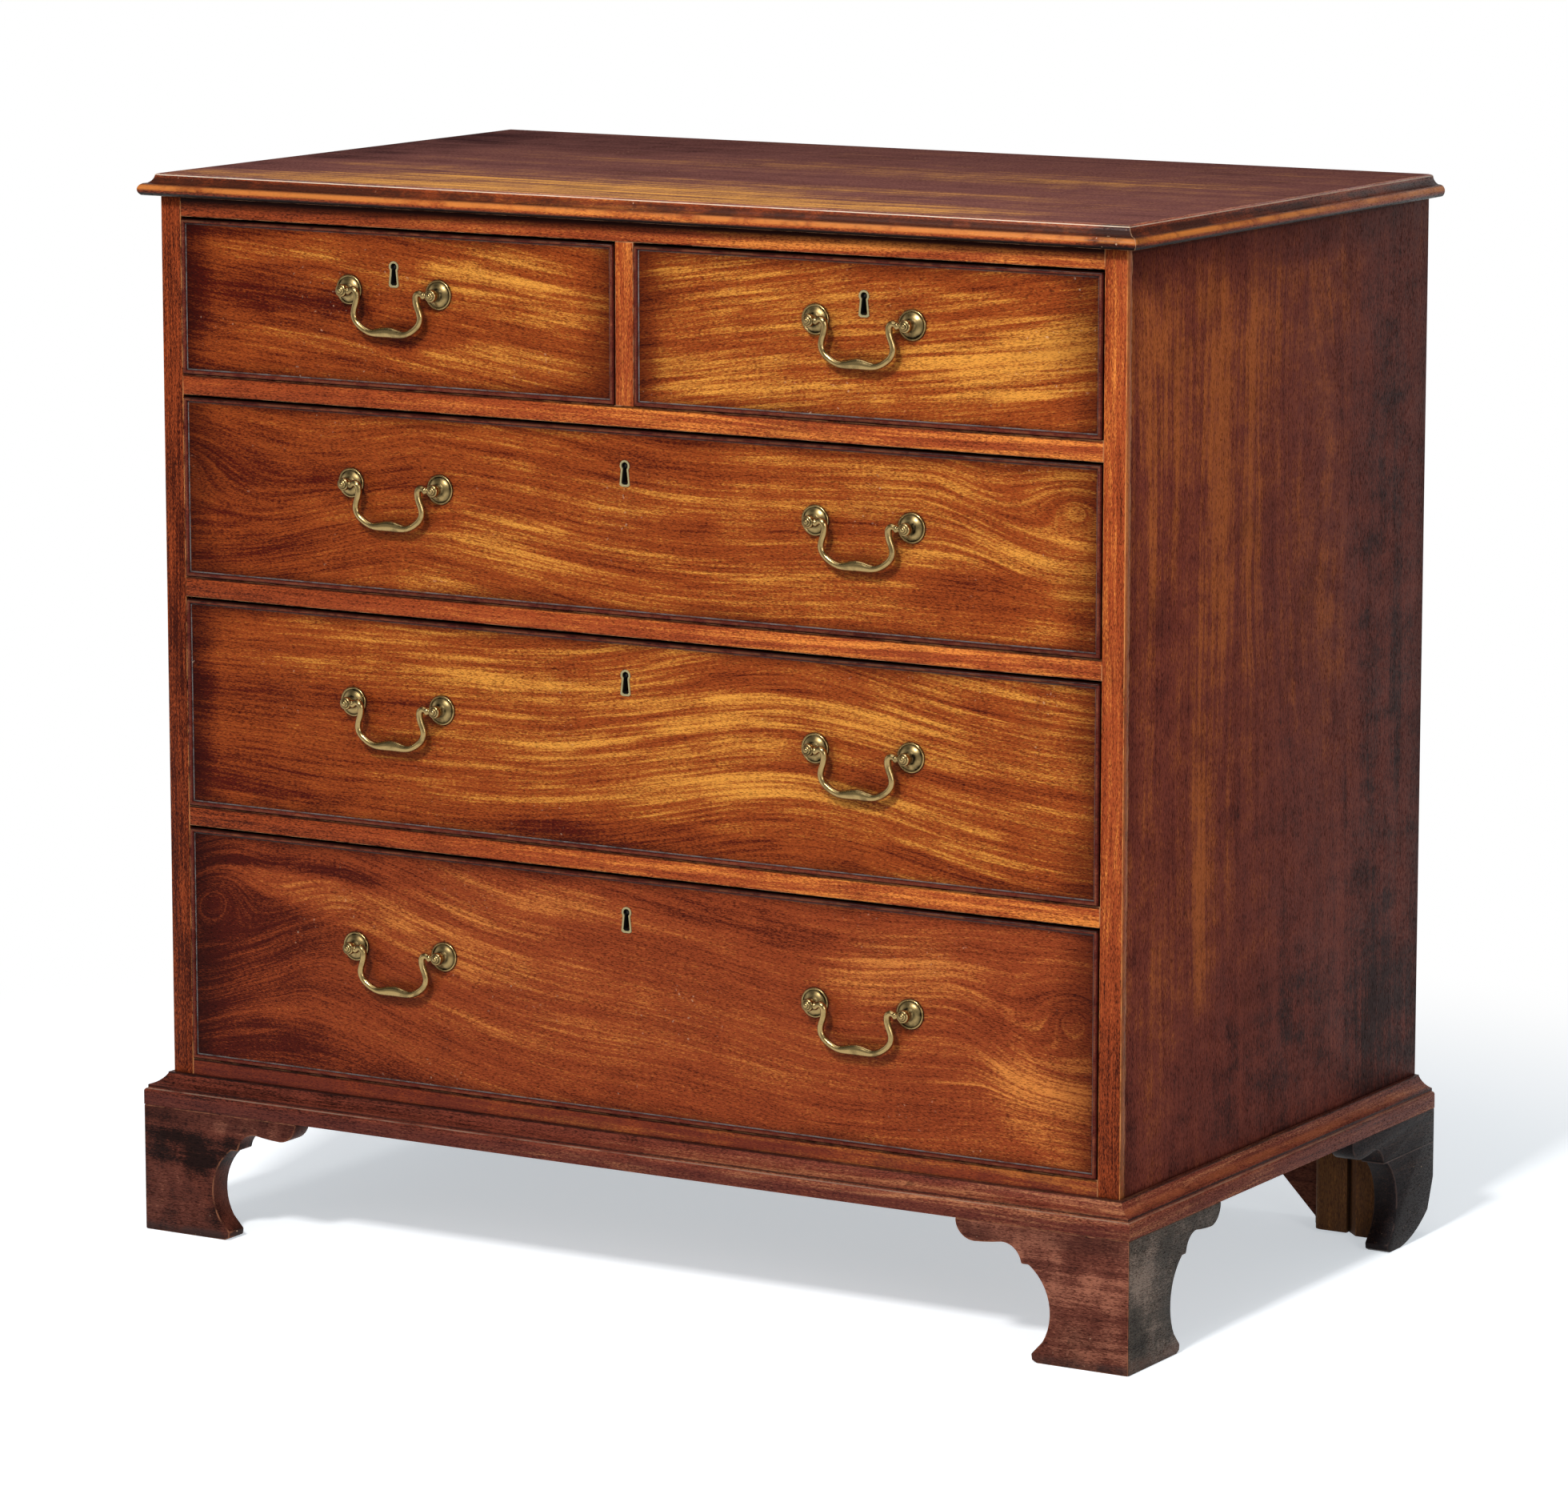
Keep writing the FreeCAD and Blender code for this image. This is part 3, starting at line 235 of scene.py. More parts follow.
def node_group(name, inputs, outputs, family="ShaderNodeTree", **usual):
    """Makes a node group of the function below it, which then stands for the group.

    The function gets the group's graph and its inputs, and returns its output, or a tuple of them.
    usual holds the values of inputs that can be left out.
    """
    def make(build):
        tree = bpy.data.node_groups.new(name, family)
        values = {label_of(key): value for key, value in usual.items()}
        for labels, in_out in ((inputs, "INPUT"), (outputs, "OUTPUT")):
            for label in labels.split(", "):
                kind = "NodeSocket" + SOCKET_KINDS.get(label, "Float")
                socket = tree.interface.new_socket(label, in_out=in_out, socket_type=kind)
                if in_out == "INPUT" and label in values:
                    socket.default_value = values[label]
        graph = Graph(tree)
        entering = tree.nodes.new("NodeGroupInput").outputs
        results = build(graph, *(Level(graph, entering[label]) for label in inputs.split(", ")))
        leaving = tree.nodes.new("NodeGroupOutput").inputs
        for socket, result in zip(leaving, results if isinstance(results, tuple) else (results,)):
            graph.feed(socket, result)
        return tree
    return make


# ---- shared effects ----
RING_WIDTH = 9 * MM            # of the pale ring round a knot
RAGGED = 30 * MM               # how far a patch's edge wanders
BEAD_LINE = 3.5 * MM           # from a board's edge to the thin line painted beside it; on a drawer front, dust and a painted highlight beside the bead
SHAKE = 3 * MM                 # how far a scratch wavers


@node_group("Swirl in the grain",
            "Along, Across, Centre along, Centre across, Reach, Flatness, Strength, Ring",
            "Across, Nearness, Ring")
def SWIRL(graph, along, across, centre_along, centre_across, reach, flatness, strength, ring):
    """Grain that circles a knot: near the centre, distance from it takes the place of height."""
    flat = (along - centre_along) * flatness
    rise = across - centre_across
    wobble = graph.noise(graph.vector(along, across, reach), (9.0, 12.0, 1.0), 1.0)
    distance = graph.math("SQRT", flat * flat + rise * rise) * graph.span(wobble, 0.25, 0.75, 0.92, 1.08)
    pull = graph.math("MULTIPLY", graph.span(distance, reach, 0.0), strength, clamp=True)
    return ((centre_across + distance - across) * pull + across, pull,
            graph.span(abs(distance - ring), RING_WIDTH, 0.0))


@node_group("Arch in the grain", "Along, Across, Centre, Half width, Rise", "Across")
def ARCH(graph, along, across, centre, half_width, rise):
    """Grain that rises over a hump and settles again."""
    offset = (along - centre) / half_width
    return across - graph.math("EXPONENT", offset * offset * -1.0) * rise


@node_group("Patch of tone", "Along, Across, Centre along, Centre across, Half length, Half height, Strength",
            "Amount")
def PATCH(graph, along, across, centre_along, centre_across, half_length, half_height, strength):
    """A soft-edged patch of light or dark wood, ragged along the grain."""
    ragged = graph.noise(graph.vector(along, across, 0.3), (7.0, 45.0, 1.0), 3.0)
    da = (along - centre_along) / half_length
    dc = ((ragged - 0.5) * RAGGED + across - centre_across) / half_height
    return graph.span(da * da + dc * dc, 1.0, 0.0) * strength


@node_group("Mahogany", "Along, Across, Plain across, Depth, Dark, Middle, Light, Seed, Wander, Bands, "
            "Streaks, Threads, Fibre, Mottle, Lightness, Pores, Lines", "Colour, Pores, Relief",
            wander=0.03, bands=0.8, streaks=0.8, threads=0.8, fibre=1.05, mottle=0.2, pores=0.75)
def GRAIN(graph, along, across, plain_across, depth, dark, middle, light, seed, wander, bands, streaks,
          threads, fibre, mottle, lightness, pores, lines):
    """Wandering bands, fibre streaks, cross mottle, growth lines and short dark pores.

    Across carries the swirls and arches of the figure; Plain across is the same height without them.
    """
    def at(height):
        values = {0: graph.vector(along, height, depth), 1: graph.vector(seed, seed, 0.0)}
        return graph.out("VectorMath", values, operation="ADD")

    flow = (graph.noise(at(across), (2.2, 7.0, 7.0)) - 0.5) * wander + across
    lane, plain = at(flow), at(plain_across)
    band = graph.noise(lane, (2.0, 34.0, 34.0), 3.0, 0.6)
    streak = graph.noise(lane, (5.0, 150.0, 150.0), 4.0, 0.65)
    thread = graph.noise(lane, (18.0, 460.0, 460.0), 3.0, 0.6)
    hair = graph.noise(plain, (330.0, 1250.0, 1250.0), 2.0, 0.7)
    cloud = graph.noise(plain, (46.0, 26.0, 26.0), 3.0)
    tone = 0.5
    for layer, amount in ((band, bands), (streak, streaks), (thread, threads), (hair, fibre),
                          (cloud, mottle)):
        tone = (layer - 0.5) * amount + tone
    tone = lightness * graph.span(streak, 0.3, 0.7, 0.4, 1.6) + tone
    ripple = graph.math("FRACT", band * 0.7 + flow * 90.0)
    tone = tone - graph.span(abs(ripple - 0.5), 0.0, 0.1, 1.0, 0.0) * lines
    colour = graph.blend(graph.span(tone, 0.05, 0.5), dark, middle)
    colour = graph.blend(graph.span(tone, 0.5, 1.0), colour, light)
    cells = graph.noise(plain, (340.0, 1700.0, 1700.0), 1.0)
    crowding = graph.noise(plain, (9.0, 60.0, 60.0), 1.0)
    open_pores = graph.span(crowding * 0.16 + cells, 0.57, 0.76)
    colour = graph.blend(open_pores * pores, colour, graph.blend(1.0, colour, PORE_SHADE, "MULTIPLY"))
    return colour, open_pores, hair * 0.35 - open_pores


@node_group("Edge of a board", "Along, Across, Left, Right, Bottom, Top, Width, End width", "Shade, Line")
def BORDER(graph, along, across, left, right, bottom, top, width, end_width):
    """How near a place is to the edge of a board: 1 at the edge, 0 from Width, or from the ends End width.

    Line is a thin, broken line beside the bead, strongest along the bottom and the left.
    """
    uneven = graph.noise(graph.vector(along, across, 1.7), (11.0, 16.0, 1.0))
    unevenness = graph.span(uneven, 0.3, 0.7, 0.6, 1.35)
    from_left, from_bottom = along - left, across - bottom
    end = graph.math("MINIMUM", from_left, right - along)
    side = graph.math("MINIMUM", from_bottom, top - across)
    lit = 1.0
    for distance, reach in ((end, end_width), (side, width)):
        lit = graph.span(distance / (reach * unevenness), -0.25, 1.0) * lit
    line = 0.0
    for a, b, strength in ((end, side, 0.35), (from_left, from_bottom, 0.8)):
        offset = abs(graph.math("MINIMUM", a, b) - BEAD_LINE)
        line = graph.math("MAXIMUM", graph.span(offset, 0.75 * MM, 0.2 * MM, 0.0, strength), line)
    breaks = graph.noise(graph.vector(along, across, 0.9), (75.0, 75.0, 1.0), 4.0, 0.7)
    return 1.0 - lit, graph.span(breaks, 0.35, 0.6, 0.3, 1.0) * line


@node_group("Scratch", "Along, Across, Start along, Start across, End along, End across, Bow, Half width",
            "Amount")
def SCRATCH(graph, along, across, start_along, start_across, end_along, end_across, bow, half_width):
    """A thin, slightly bowed line from one place to another."""
    share = (along - start_along) / (end_along - start_along)
    shake = graph.noise(graph.vector(along, 0.0, 0.0), (60.0, 1.0, 1.0), 3.0)
    bend = share * (1.0 - share) * bow + (shake - 0.5) * SHAKE
    offset = across - start_across - (share * (end_across - start_across) + bend)
    ends = graph.span(share, 0.0, 0.12) * graph.span(share, 1.0, 0.88)
    return graph.span(abs(offset), half_width, 0.0) * ends


@node_group("Line along a moulding", "Place, Height, Level, Half width, Strength, Broken", "Amount")
def COURSE(graph, place, height, level, half_width, strength, broken):
    """A line at one height along a moulding or a board, broken here and there."""
    line = graph.span(abs(height - level), half_width, half_width * 0.3)
    whole = graph.span(graph.noise(place, 26.0, 4.0, 0.7), 0.36, 0.56, 1.0 - broken, 1.0)
    return line * (whole * strength)


@node_group("Marks of use", "Place, Arris, Nicks, Corner from, Corner reach",
            "Rubbed, Nicks, Stains, Grime, Clouds", corner_from=0.72, corner_reach=12 * MM)
def WEAR_AND_SHADE(graph, place, arris, nicks, corner_from, corner_reach):
    """Rubbed arrises, pale nicks, dark spots, and dirt with painted shade in corners and hollows."""
    breaks = graph.noise(place, 70.0, 4.0, 0.65)
    clouds = graph.noise(place, 14.0, 5.0, 0.65)
    specks = graph.noise(place, 420.0, 0.0)
    spots = graph.noise(place, 95.0, 1.0)
    stains = graph.math("MAXIMUM", graph.span(clouds, 0.52, 0.75), graph.span(spots, 0.74, 0.8))
    # Painted shade: darker where ambient occlusion finds corners and hollows, also behind the bails; it
    # stands for dirt there as well.
    corner = graph.span(graph.shut_in(corner_reach), corner_from, corner_from - 0.5)
    return (arris * graph.span(breaks, 0.38, 0.6),
            graph.span(specks, 0.79, 0.84) * graph.span(clouds, 0.55, 0.66) * nicks, stains,
            corner * graph.span(clouds, 0.2, 0.5, 0.55, 1.0), clouds)


# ---- woods ----
PATCH_SPREAD = 1.5             # a patch fades out this far beyond its written size
PATCH_DEPTH = 0.62
SWIRL_CALM = 0.14              # growth lines that a swirl takes away


def emptied(owner):
    """The node tree of a material or a world, with nothing in it."""
    owner.use_nodes = True
    owner.node_tree.nodes.clear()
    return Graph(owner.node_tree)


def new_material(name):
    material = bpy.data.materials.new(name)
    graph = emptied(material)
    return material, graph, graph.out("TexCoord", None, "Object")


def surface(graph, values, relief, strength, depth):
    """Ends a material: a surface with these values, and a relief of this depth."""
    bump = graph.out("Bump", {"Height": relief, "Strength": strength, "Distance": depth})
    shown = graph.out("BsdfPrincipled", {**values, "Normal": bump})
    graph.node("OutputMaterial", {"Surface": shown})


def mahogany(name, along, across, tones, slope=0.0, arches=(), swirls=(), patches=(), scratches=(),
             courses=(), course_axis=2, darker_to_left=None, edge=None, edge_width=14 * MM, end_width=45 * MM,
             edge_shade=0.88, line_colour=DUST_AND_HIGHLIGHT, nicks=0.0, stain=0.25, rubbed="c98f62", rub=0.6, roughness=0.36,
             gloss=0.07, lightness=0.0, lines=0.0, corner_from=0.72, **figure):
    """Polished mahogany. along and across are 0, 1 or 2 for X, Y or Z; edge is the board's box.

    arches, swirls, patches, courses and scratches are lists of places on the board, in millimetres.
    """
    material, graph, place = new_material(name)
    axes = graph.axes(place)
    run, straight, depth = axes[along], axes[across], axes[3 - along - across]
    height = plain = run * -slope + straight
    for centre, half_width, rise in arches:
        height = graph.group(ARCH, run, height, centre * MM, half_width * MM, rise * MM)
    for centre, level, reach, flatness, strength, ring, ring_light in swirls:
        height, nearness, near_ring = graph.group(
            SWIRL, run, height, centre * MM, (level - slope * centre) * MM, reach * MM, flatness, strength,
            ring * MM)
        lines = nearness * -SWIRL_CALM + lines
        lightness = near_ring * ring_light + lightness
    for centre, level, half_length, half_height, strength in patches:
        lightness = graph.group(
            PATCH, run, straight, centre * MM, level * MM, half_length * PATCH_SPREAD * MM,
            half_height * PATCH_SPREAD * MM, PATCH_DEPTH * strength) + lightness
    # Darker towards the left: partly the wood's tone, partly painted shade across the front of the chest.
    if darker_to_left:
        start, end, darkening = darker_to_left
        lightness = graph.span(run, start, end, -darkening, 0.0) + lightness
    colour, pores, relief = graph.group(GRAIN, run, height, plain, depth, *tones, lightness=lightness,
                                        lines=lines, **figure)
    arris = graph.attribute("arris")
    worn, nicked, stains, corner_dirt_and_shade, clouds = graph.group(WEAR_AND_SHADE, place, arris, nicks, corner_from)
    colour = graph.blend(stains * stain, colour, CRUSTED)
    if edge:
        low, high = edge
        shade, line = graph.group(BORDER, run, straight, low[along], high[along], low[across], high[across],
                                  edge_width, end_width)
        shaded = graph.blend(1.0, colour, EDGE_SHADE, "MULTIPLY")
        colour = graph.blend(shade * edge_shade, colour, shaded)
        # A thin line beside the edge: on the drawer fronts, pale dust with a painted highlight along the
        # bead.
        colour = graph.blend(line, colour, line_colour)
    for *places_and_width, deep in scratches:
        mark = graph.group(SCRATCH, run, straight, *(value * MM for value in places_and_width))
        colour = graph.blend(mark * deep, colour, SCRATCHED)
    for level, half_width, tint, strength, broken in courses:
        line = graph.group(COURSE, place, axes[course_axis], level * MM, half_width * MM, strength, broken)
        colour = graph.blend(line, colour, tint)
    # Dirt and painted shade in corners, beside the beads and behind the handles.
    colour = graph.blend(corner_dirt_and_shade * 0.85, colour, CORNER_DIRT_AND_SHADE)
    colour = graph.blend(worn * rub, colour, rubbed)
    colour = graph.blend(nicked, colour, NICKED)
    rough = clouds * 0.22 + (pores * 0.25 + roughness - 0.11)
    surface(graph, {"Base Color": colour, "Roughness": rough, "Specular IOR Level": gloss}, relief, 0.12,
            0.3 * MM)
    return material


def bare_wood(name, along, across, tones, rough_sawn=0.3, dirt=0.4):
    """Unpolished oak or pine, with open grain and old dirt."""
    material, graph, place = new_material(name)
    axes = graph.axes(place)
    run, height = axes[along], axes[across]
    colour, _, relief = graph.group(GRAIN, run, height, height, axes[3 - along - across], *tones,
                                    mottle=0.1, wander=0.05)
    worn, _, stains, corner_dirt_and_shade, clouds = graph.group(WEAR_AND_SHADE, place, graph.attribute("arris"), 0.0,
                                                 corner_reach=30 * MM)
    colour = graph.blend(stains * dirt, colour, "2b1c12")
    # Dirt and painted shade in the corners of the inside.
    colour = graph.blend(corner_dirt_and_shade * 0.7, colour, "1c120c")
    colour = graph.blend(worn * 0.4, colour, tones[2])
    saw = graph.noise(graph.vector(run, height, 0.0), (420.0, 12.0, 1.0), 1.0)
    surface(graph, {"Base Color": colour, "Roughness": graph.span(clouds, 0.2, 0.8, 0.62, 0.85),
                    "Specular IOR Level": 0.2}, saw * rough_sawn + relief, 0.3, 0.4 * MM)
    return material


# ---- metals ----
def old_metal(name, clean, tarnish, metallic=1.0, roughness=0.3, amount=0.6, shaded_behind=None):
    """Cast metal with tarnish in its hollows, brighter, rubbed high places, and painted shade where it turns
    edge-on to the view.

    From the depth shaded_behind, measured back from the front, it is painted near black all over, as painted
    shade deep in the keyhole.
    """
    material, graph, place = new_material(name)
    clouds = graph.noise(place, 130.0, 3.0)
    pits = graph.noise(place, 900.0, 1.0)
    facing = graph.out("LayerWeight", {"Blend": 0.5}, "Facing")
    cover = graph.span(clouds, 0.45, 0.75, 0.0, 0.55) + graph.span(graph.shut_in(4 * MM), 0.75, 0.25)
    # Painted shade: the layer weight darkens the metal where it turns edge-on to the view.
    cover = cover + graph.attribute("tarnish") + graph.span(facing, 0.45, 0.95, 0.0, 0.8)
    cover = graph.math("MULTIPLY", cover, amount, clamp=True)
    # Painted shade: the liner turns black behind the front's face, deep in the keyhole.
    if shaded_behind is not None:
        behind = graph.span(graph.axes(place)[1], shaded_behind, shaded_behind + 0.5 * MM)
        cover = graph.math("MAXIMUM", cover, behind)
    colour = graph.blend(cover, clean, tarnish)
    colour = graph.blend(graph.span(pits, 0.7, 0.76, 0.0, 0.5), colour, "17120b")
    surface(graph, {"Base Color": colour, "Metallic": metallic, "Roughness": cover * 0.28 + roughness},
            clouds + pits * 0.4, 0.08, 0.25 * MM)
    return material


BRASS = old_metal("old brass", "b59a66", "1a140c", roughness=0.22, amount=0.85)
# The keyhole liner is painted black behind the front's face, as painted shade inside the keyhole.
LINER_BRASS = old_metal("keyhole brass", "a3966c", "120e08", metallic=0.35, roughness=0.45, amount=0.3,
                        shaded_behind=FRONT_Y)
IRON = old_metal("lock iron", "6a625a", "2c241f", roughness=0.5)
PINE = bare_wood("old pine", 0, 1, PINE_TONES)
PINE_UPRIGHT = bare_wood("old pine upright", 2, 0, ("3c2818", "77522f", "9d7445"), dirt=0.6)
BLOCK_WOOD = bare_wood("glue blocks", 2, 0, ("2a1a10", "6a4526", "a5703c"), dirt=0.8)
PINE_DEEP = bare_wood("old pine front to back", 1, 0, PINE_TONES)
OAK = bare_wood("drawer oak", 1, 2, ("5a4023", "9a7443", "c29a62"), rough_sawn=0.1, dirt=0.25)


# ---- shaping ----
def link(piece):
    bpy.context.scene.collection.objects.link(piece)
    return piece


def softened(node, width=ARRIS, part_of=None, also_worn=None):
    """A mesh like a frame node's, with flat faces merged and its sharp edges rounded.

    part_of(point) sorts the triangles of a node whose solids touch, by a point just inside each;
    the new faces carry the parts' numbers as material indices, and rounded edges an arris value.
    """
    source = frame["nodes"][node].data
    parts = {}
    for face in source.polygons:
        corners = [source.vertices[i].co.copy() for i in face.vertices]
        inside = face.center - face.normal * (0.2 * MM)
        parts.setdefault(part_of(inside) if part_of else 0, []).append(corners)
    whole = bmesh.new()
    arris = whole.faces.layers.float.new("arris")
    for number, triangles in sorted(parts.items()):
        part = bmesh.new()
        for corners in triangles:
            part.faces.new([part.verts.new(corner) for corner in corners])
        bmesh.ops.remove_doubles(part, verts=part.verts, dist=0.001 * MM)
        bmesh.ops.dissolve_limit(part, angle_limit=math.radians(0.5), verts=part.verts, edges=part.edges)
        sharp = [edge for edge in part.edges
                 if edge.is_manifold and abs(edge.calc_face_angle_signed(0)) > SHARP_FROM]
        rounded = set(bmesh.ops.bevel(part, geom=sharp, offset=width, segments=ARRIS_STEPS, profile=0.5,
                                      affect="EDGES", clamp_overlap=True)["faces"])
        matching = {vert: whole.verts.new(vert.co) for vert in part.verts}
        for face in part.faces:
            copy = whole.faces.new([matching[vert] for vert in face.verts])
            copy.material_index = number
            worn = face in rounded or (also_worn and also_worn(face.calc_center_median()))
            copy[arris] = 1.0 if worn else 0.0
            copy.smooth = True
        part.free()
    return plain_mesh(whole, node + "_worn", SHARP_FROM)


def plain_mesh(shape, name, sharp_from=None):
    """Ends a shape under construction and returns it as a mesh."""
    mesh = bpy.data.meshes.new(name)
    shape.to_mesh(mesh)
    shape.free()
    if sharp_from:
        mesh.set_sharp_from_angle(angle=sharp_from)
    return mesh


def put(name, mesh, node):
    """Makes a piece of a mesh and puts it in place of a frame node, on the same body."""
    piece = link(bpy.data.objects.new(name, mesh))
    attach(piece, BODY_OF[node])
    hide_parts(node)


def finished(node, mesh, *materials):
    """Puts a wooden piece in place of a frame node."""
    for material in materials:
        mesh.materials.append(material)
    put(node + "_wood", mesh, node)


def cover(node, material):
    """Gives a frame node that keeps its shape another material."""
    for slot in frame["nodes"][node].material_slots:
        slot.material = material


# ---- carcass ----
# Patches: place along the board and across it, half length, half height, strength.
# Courses: height, half width, colour, strength, how broken.
# Scratches: from and to, each along and across, then bow, half width, depth.
TOP_PATCHES = (
    (-20, -210, 330, 60, 0.5), (150, -95, 130, 22, 0.22), (330, -130, 90, 22, 0.1),
    (-80, -120, 200, 44, 0.28), (-330, -90, 90, 26, 0.2), (-300, -200, 120, 40, 0.1),
    (380, -215, 90, 40, -0.14), (-280, 190, 150, 60, -0.2), (260, 60, 120, 50, 0.12), (20, 60, 220, 60, 0.12),
    (-410, 40, 60, 180, -0.3))
# The first stile patch darkens the left stile, partly as the wood's tone and partly as painted shade, like
# the darker left ends of the fronts.
STILE_PATCHES = ((450, -420, 500, 60, -0.5), (150, 420, 130, 40, -0.45))
SIDE_PATCHES = (
    (700, -190, 110, 40, 0.25), (640, -95, 130, 26, 0.35), (560, -205, 150, 14, 0.3),
    (430, -100, 150, 40, 0.15), (620, -40, 120, 18, 0.3), (330, -110, 90, 12, 0.3), (220, -185, 90, 26, 0.22),
    (560, 60, 130, 60, 0.1), (740, -130, 70, 110, 0.25), (760, 20, 50, 90, 0.2), (600, 195, 190, 60, -0.4),
    (250, 200, 190, 60, -0.4), (180, 20, 70, 260, -0.3), (330, 60, 130, 60, -0.2), (805, -60, 14, 220, -0.2))
SIDE_SWIRLS = ((690, 80, 150, 0.35, 0.5, 30, 0.0),)
SIDE_SCRATCHES = ((447, 246, 476, 119, 26, 1.3, 0.8), (518, 5, 560, 60, 3, 0.7, 0.5))
FOOT_PATCHES = (
    (-430, 24, 45, 16, 0.12), (-385, 70, 50, 14, -0.4), (-430, 92, 40, 12, -0.3), (-350, 96, 30, 8, 0.2),
    (400, 60, 50, 20, 0.14), (430, 90, 40, 12, -0.2), (370, 20, 40, 14, -0.16))
BAND_RISE = 12.3 * MM          # of the base moulding's upper arris above the feet
REAR_CRACK = 75.5              # height of the crack along a rear bracket, in millimetres


def run_of_moulding(point):
    """0 for the front length of a moulding, 1 for a side length."""
    return 0 if FRONT_Y - point.y > abs(point.x) - SIDE_FACE else 1


def run_of_bracket(point):
    """0 for a bracket that lies along the front or back, 1 for one along a side."""
    outward = cad_high.x - abs(point.x)
    if point.y < 0:
        return 0 if point.y - cad_low.y < outward else 1
    return 0 if cad_high.y - point.y < BRACKET_THICKNESS < outward else 1


def finish_top():
    top = mahogany("top board", 0, 1, TOP_BROWN, patches=TOP_PATCHES, roughness=0.42, gloss=0.0, bands=0.5,
                   streaks=0.6, threads=0.4, seed=3.1, lightness=-0.04, nicks=0.6, mottle=0.3, fibre=0.55)
    finished("top_board", softened("top_board"), top)
    high, low = (level.z / MM for level in reversed(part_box("top_moulding")))
    # Painted shadow: a black band along the moulding's underside.
    under = (low + 0.5, 3.4, "080403", 1.0, 0.0)
    # Courses on both runs of the moulding: painted shade in the cove, a pale line of wax and dust on the top
    # arris, and a painted highlight on the nose.
    along_front = mahogany(
        "top moulding front", 0, 2, ORANGE_BROWN, nicks=0.6, rub=0.5, rubbed="c99f7c", seed=1.2,
        patches=[(438, high - 10, 40, 22, -0.6)], darker_to_left=(-0.45, 0.1, 0.2), gloss=0.12, roughness=0.3, courses=(
            (high - 6, 5.0, "2c1710", 0.85, 0.45), (high - 1.2, 0.5, "e0d2bd", 0.9, 0.35),
            (low + 6.5, 2.8, "cf7f3c", 0.65, 0.85), under))
    along_side = mahogany(
        "top moulding side", 1, 2, ORANGE_BROWN, rub=0.4, rubbed="a98263", seed=5.0, lightness=-0.1,
        patches=[(-262, high - 10, 26, 22, -0.5)], gloss=0.1, courses=(
            (high - 6, 5.0, "24130f", 0.9, 0.35), (high - 1.2, 0.5, "c9b7a3", 0.8, 0.45),
            (low + 6.5, 2.8, "c87834", 0.8, 0.75), under))
    finished("top_moulding", softened("top_moulding", part_of=run_of_moulding), along_front, along_side)


def finish_carcass_front():
    under_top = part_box("top_moulding")[0].z / MM
    tops, bottoms = ([FRONTS[name][end].z / MM for name in DRAWERS[1:]] for end in (1, 0))
    # Painted shadows on the rails: black in the gap above each drawer, and under each drawer's bottom bead.
    gap_shadows = [(top + 1.3, 1.6, "080303", 0.95, 0.2) for top in tops]
    gap_shadows += [(bottom - 1.3, 1.5, "120503", 0.9, 0.2) for bottom in bottoms]
    # Stiles: a painted highlight along the outer arris of the right stile.
    stiles = mahogany("stiles", 2, 0, ORANGE_BROWN, seed=2.2, patches=STILE_PATCHES, lightness=0.05, rub=0.7,
                      rubbed="d18a50", bands=0.5, course_axis=0,
                      courses=[(SIDE_FACE / MM - 0.3, 0.7, "b9743c", 0.4, 0.7)])
    # Rails: a painted shadow band under the top moulding, and painted shade fading down the top rail below
    # it.
    rails = mahogany("rails", 0, 2, ORANGE_BROWN, seed=7.7, darker_to_left=(-0.45, 0.2, 0.34), rub=0.5, lightness=0.18,
                     bands=0.5, streaks=0.9, courses=[
                         (under_top - 1, 6.0, "060302", 1.0, 0.0), (bottoms[-1] - 10, 16, "4a1c1a", 0.7, 0.3),
                         (under_top - 4, 9.0, "3a160e", 0.5, 0.3), *gap_shadows])
    muntin = mahogany("muntin", 2, 0, ORANGE_BROWN, seed=4.0, lightness=0.06, bands=0.5)
    for node, wood in (("stiles", stiles), ("rails", rails), ("muntin", muntin)):
        finished(node, softened(node), wood)


def finish_sides():
    for node, seed in (("side_right", 6.1), ("side_left", 8.3)):
        low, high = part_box(node)
        edge = (Vector((0, low.y - 10 * MM, low.z)), Vector((0, high.y, high.z)))
        wood = mahogany(node + " wood", 2, 1, DARK_RED, edge=edge, edge_width=30 * MM, end_width=50 * MM,
                        edge_shade=0.6, line_colour="1c1110", patches=SIDE_PATCHES, swirls=SIDE_SWIRLS,
                        scratches=SIDE_SCRATCHES, bands=0.6, streaks=0.5, threads=0.4, mottle=0.7, seed=seed,
                        roughness=0.46, gloss=0.03, stain=0.3, lightness=0.05)
        finished(node, softened(node), wood)


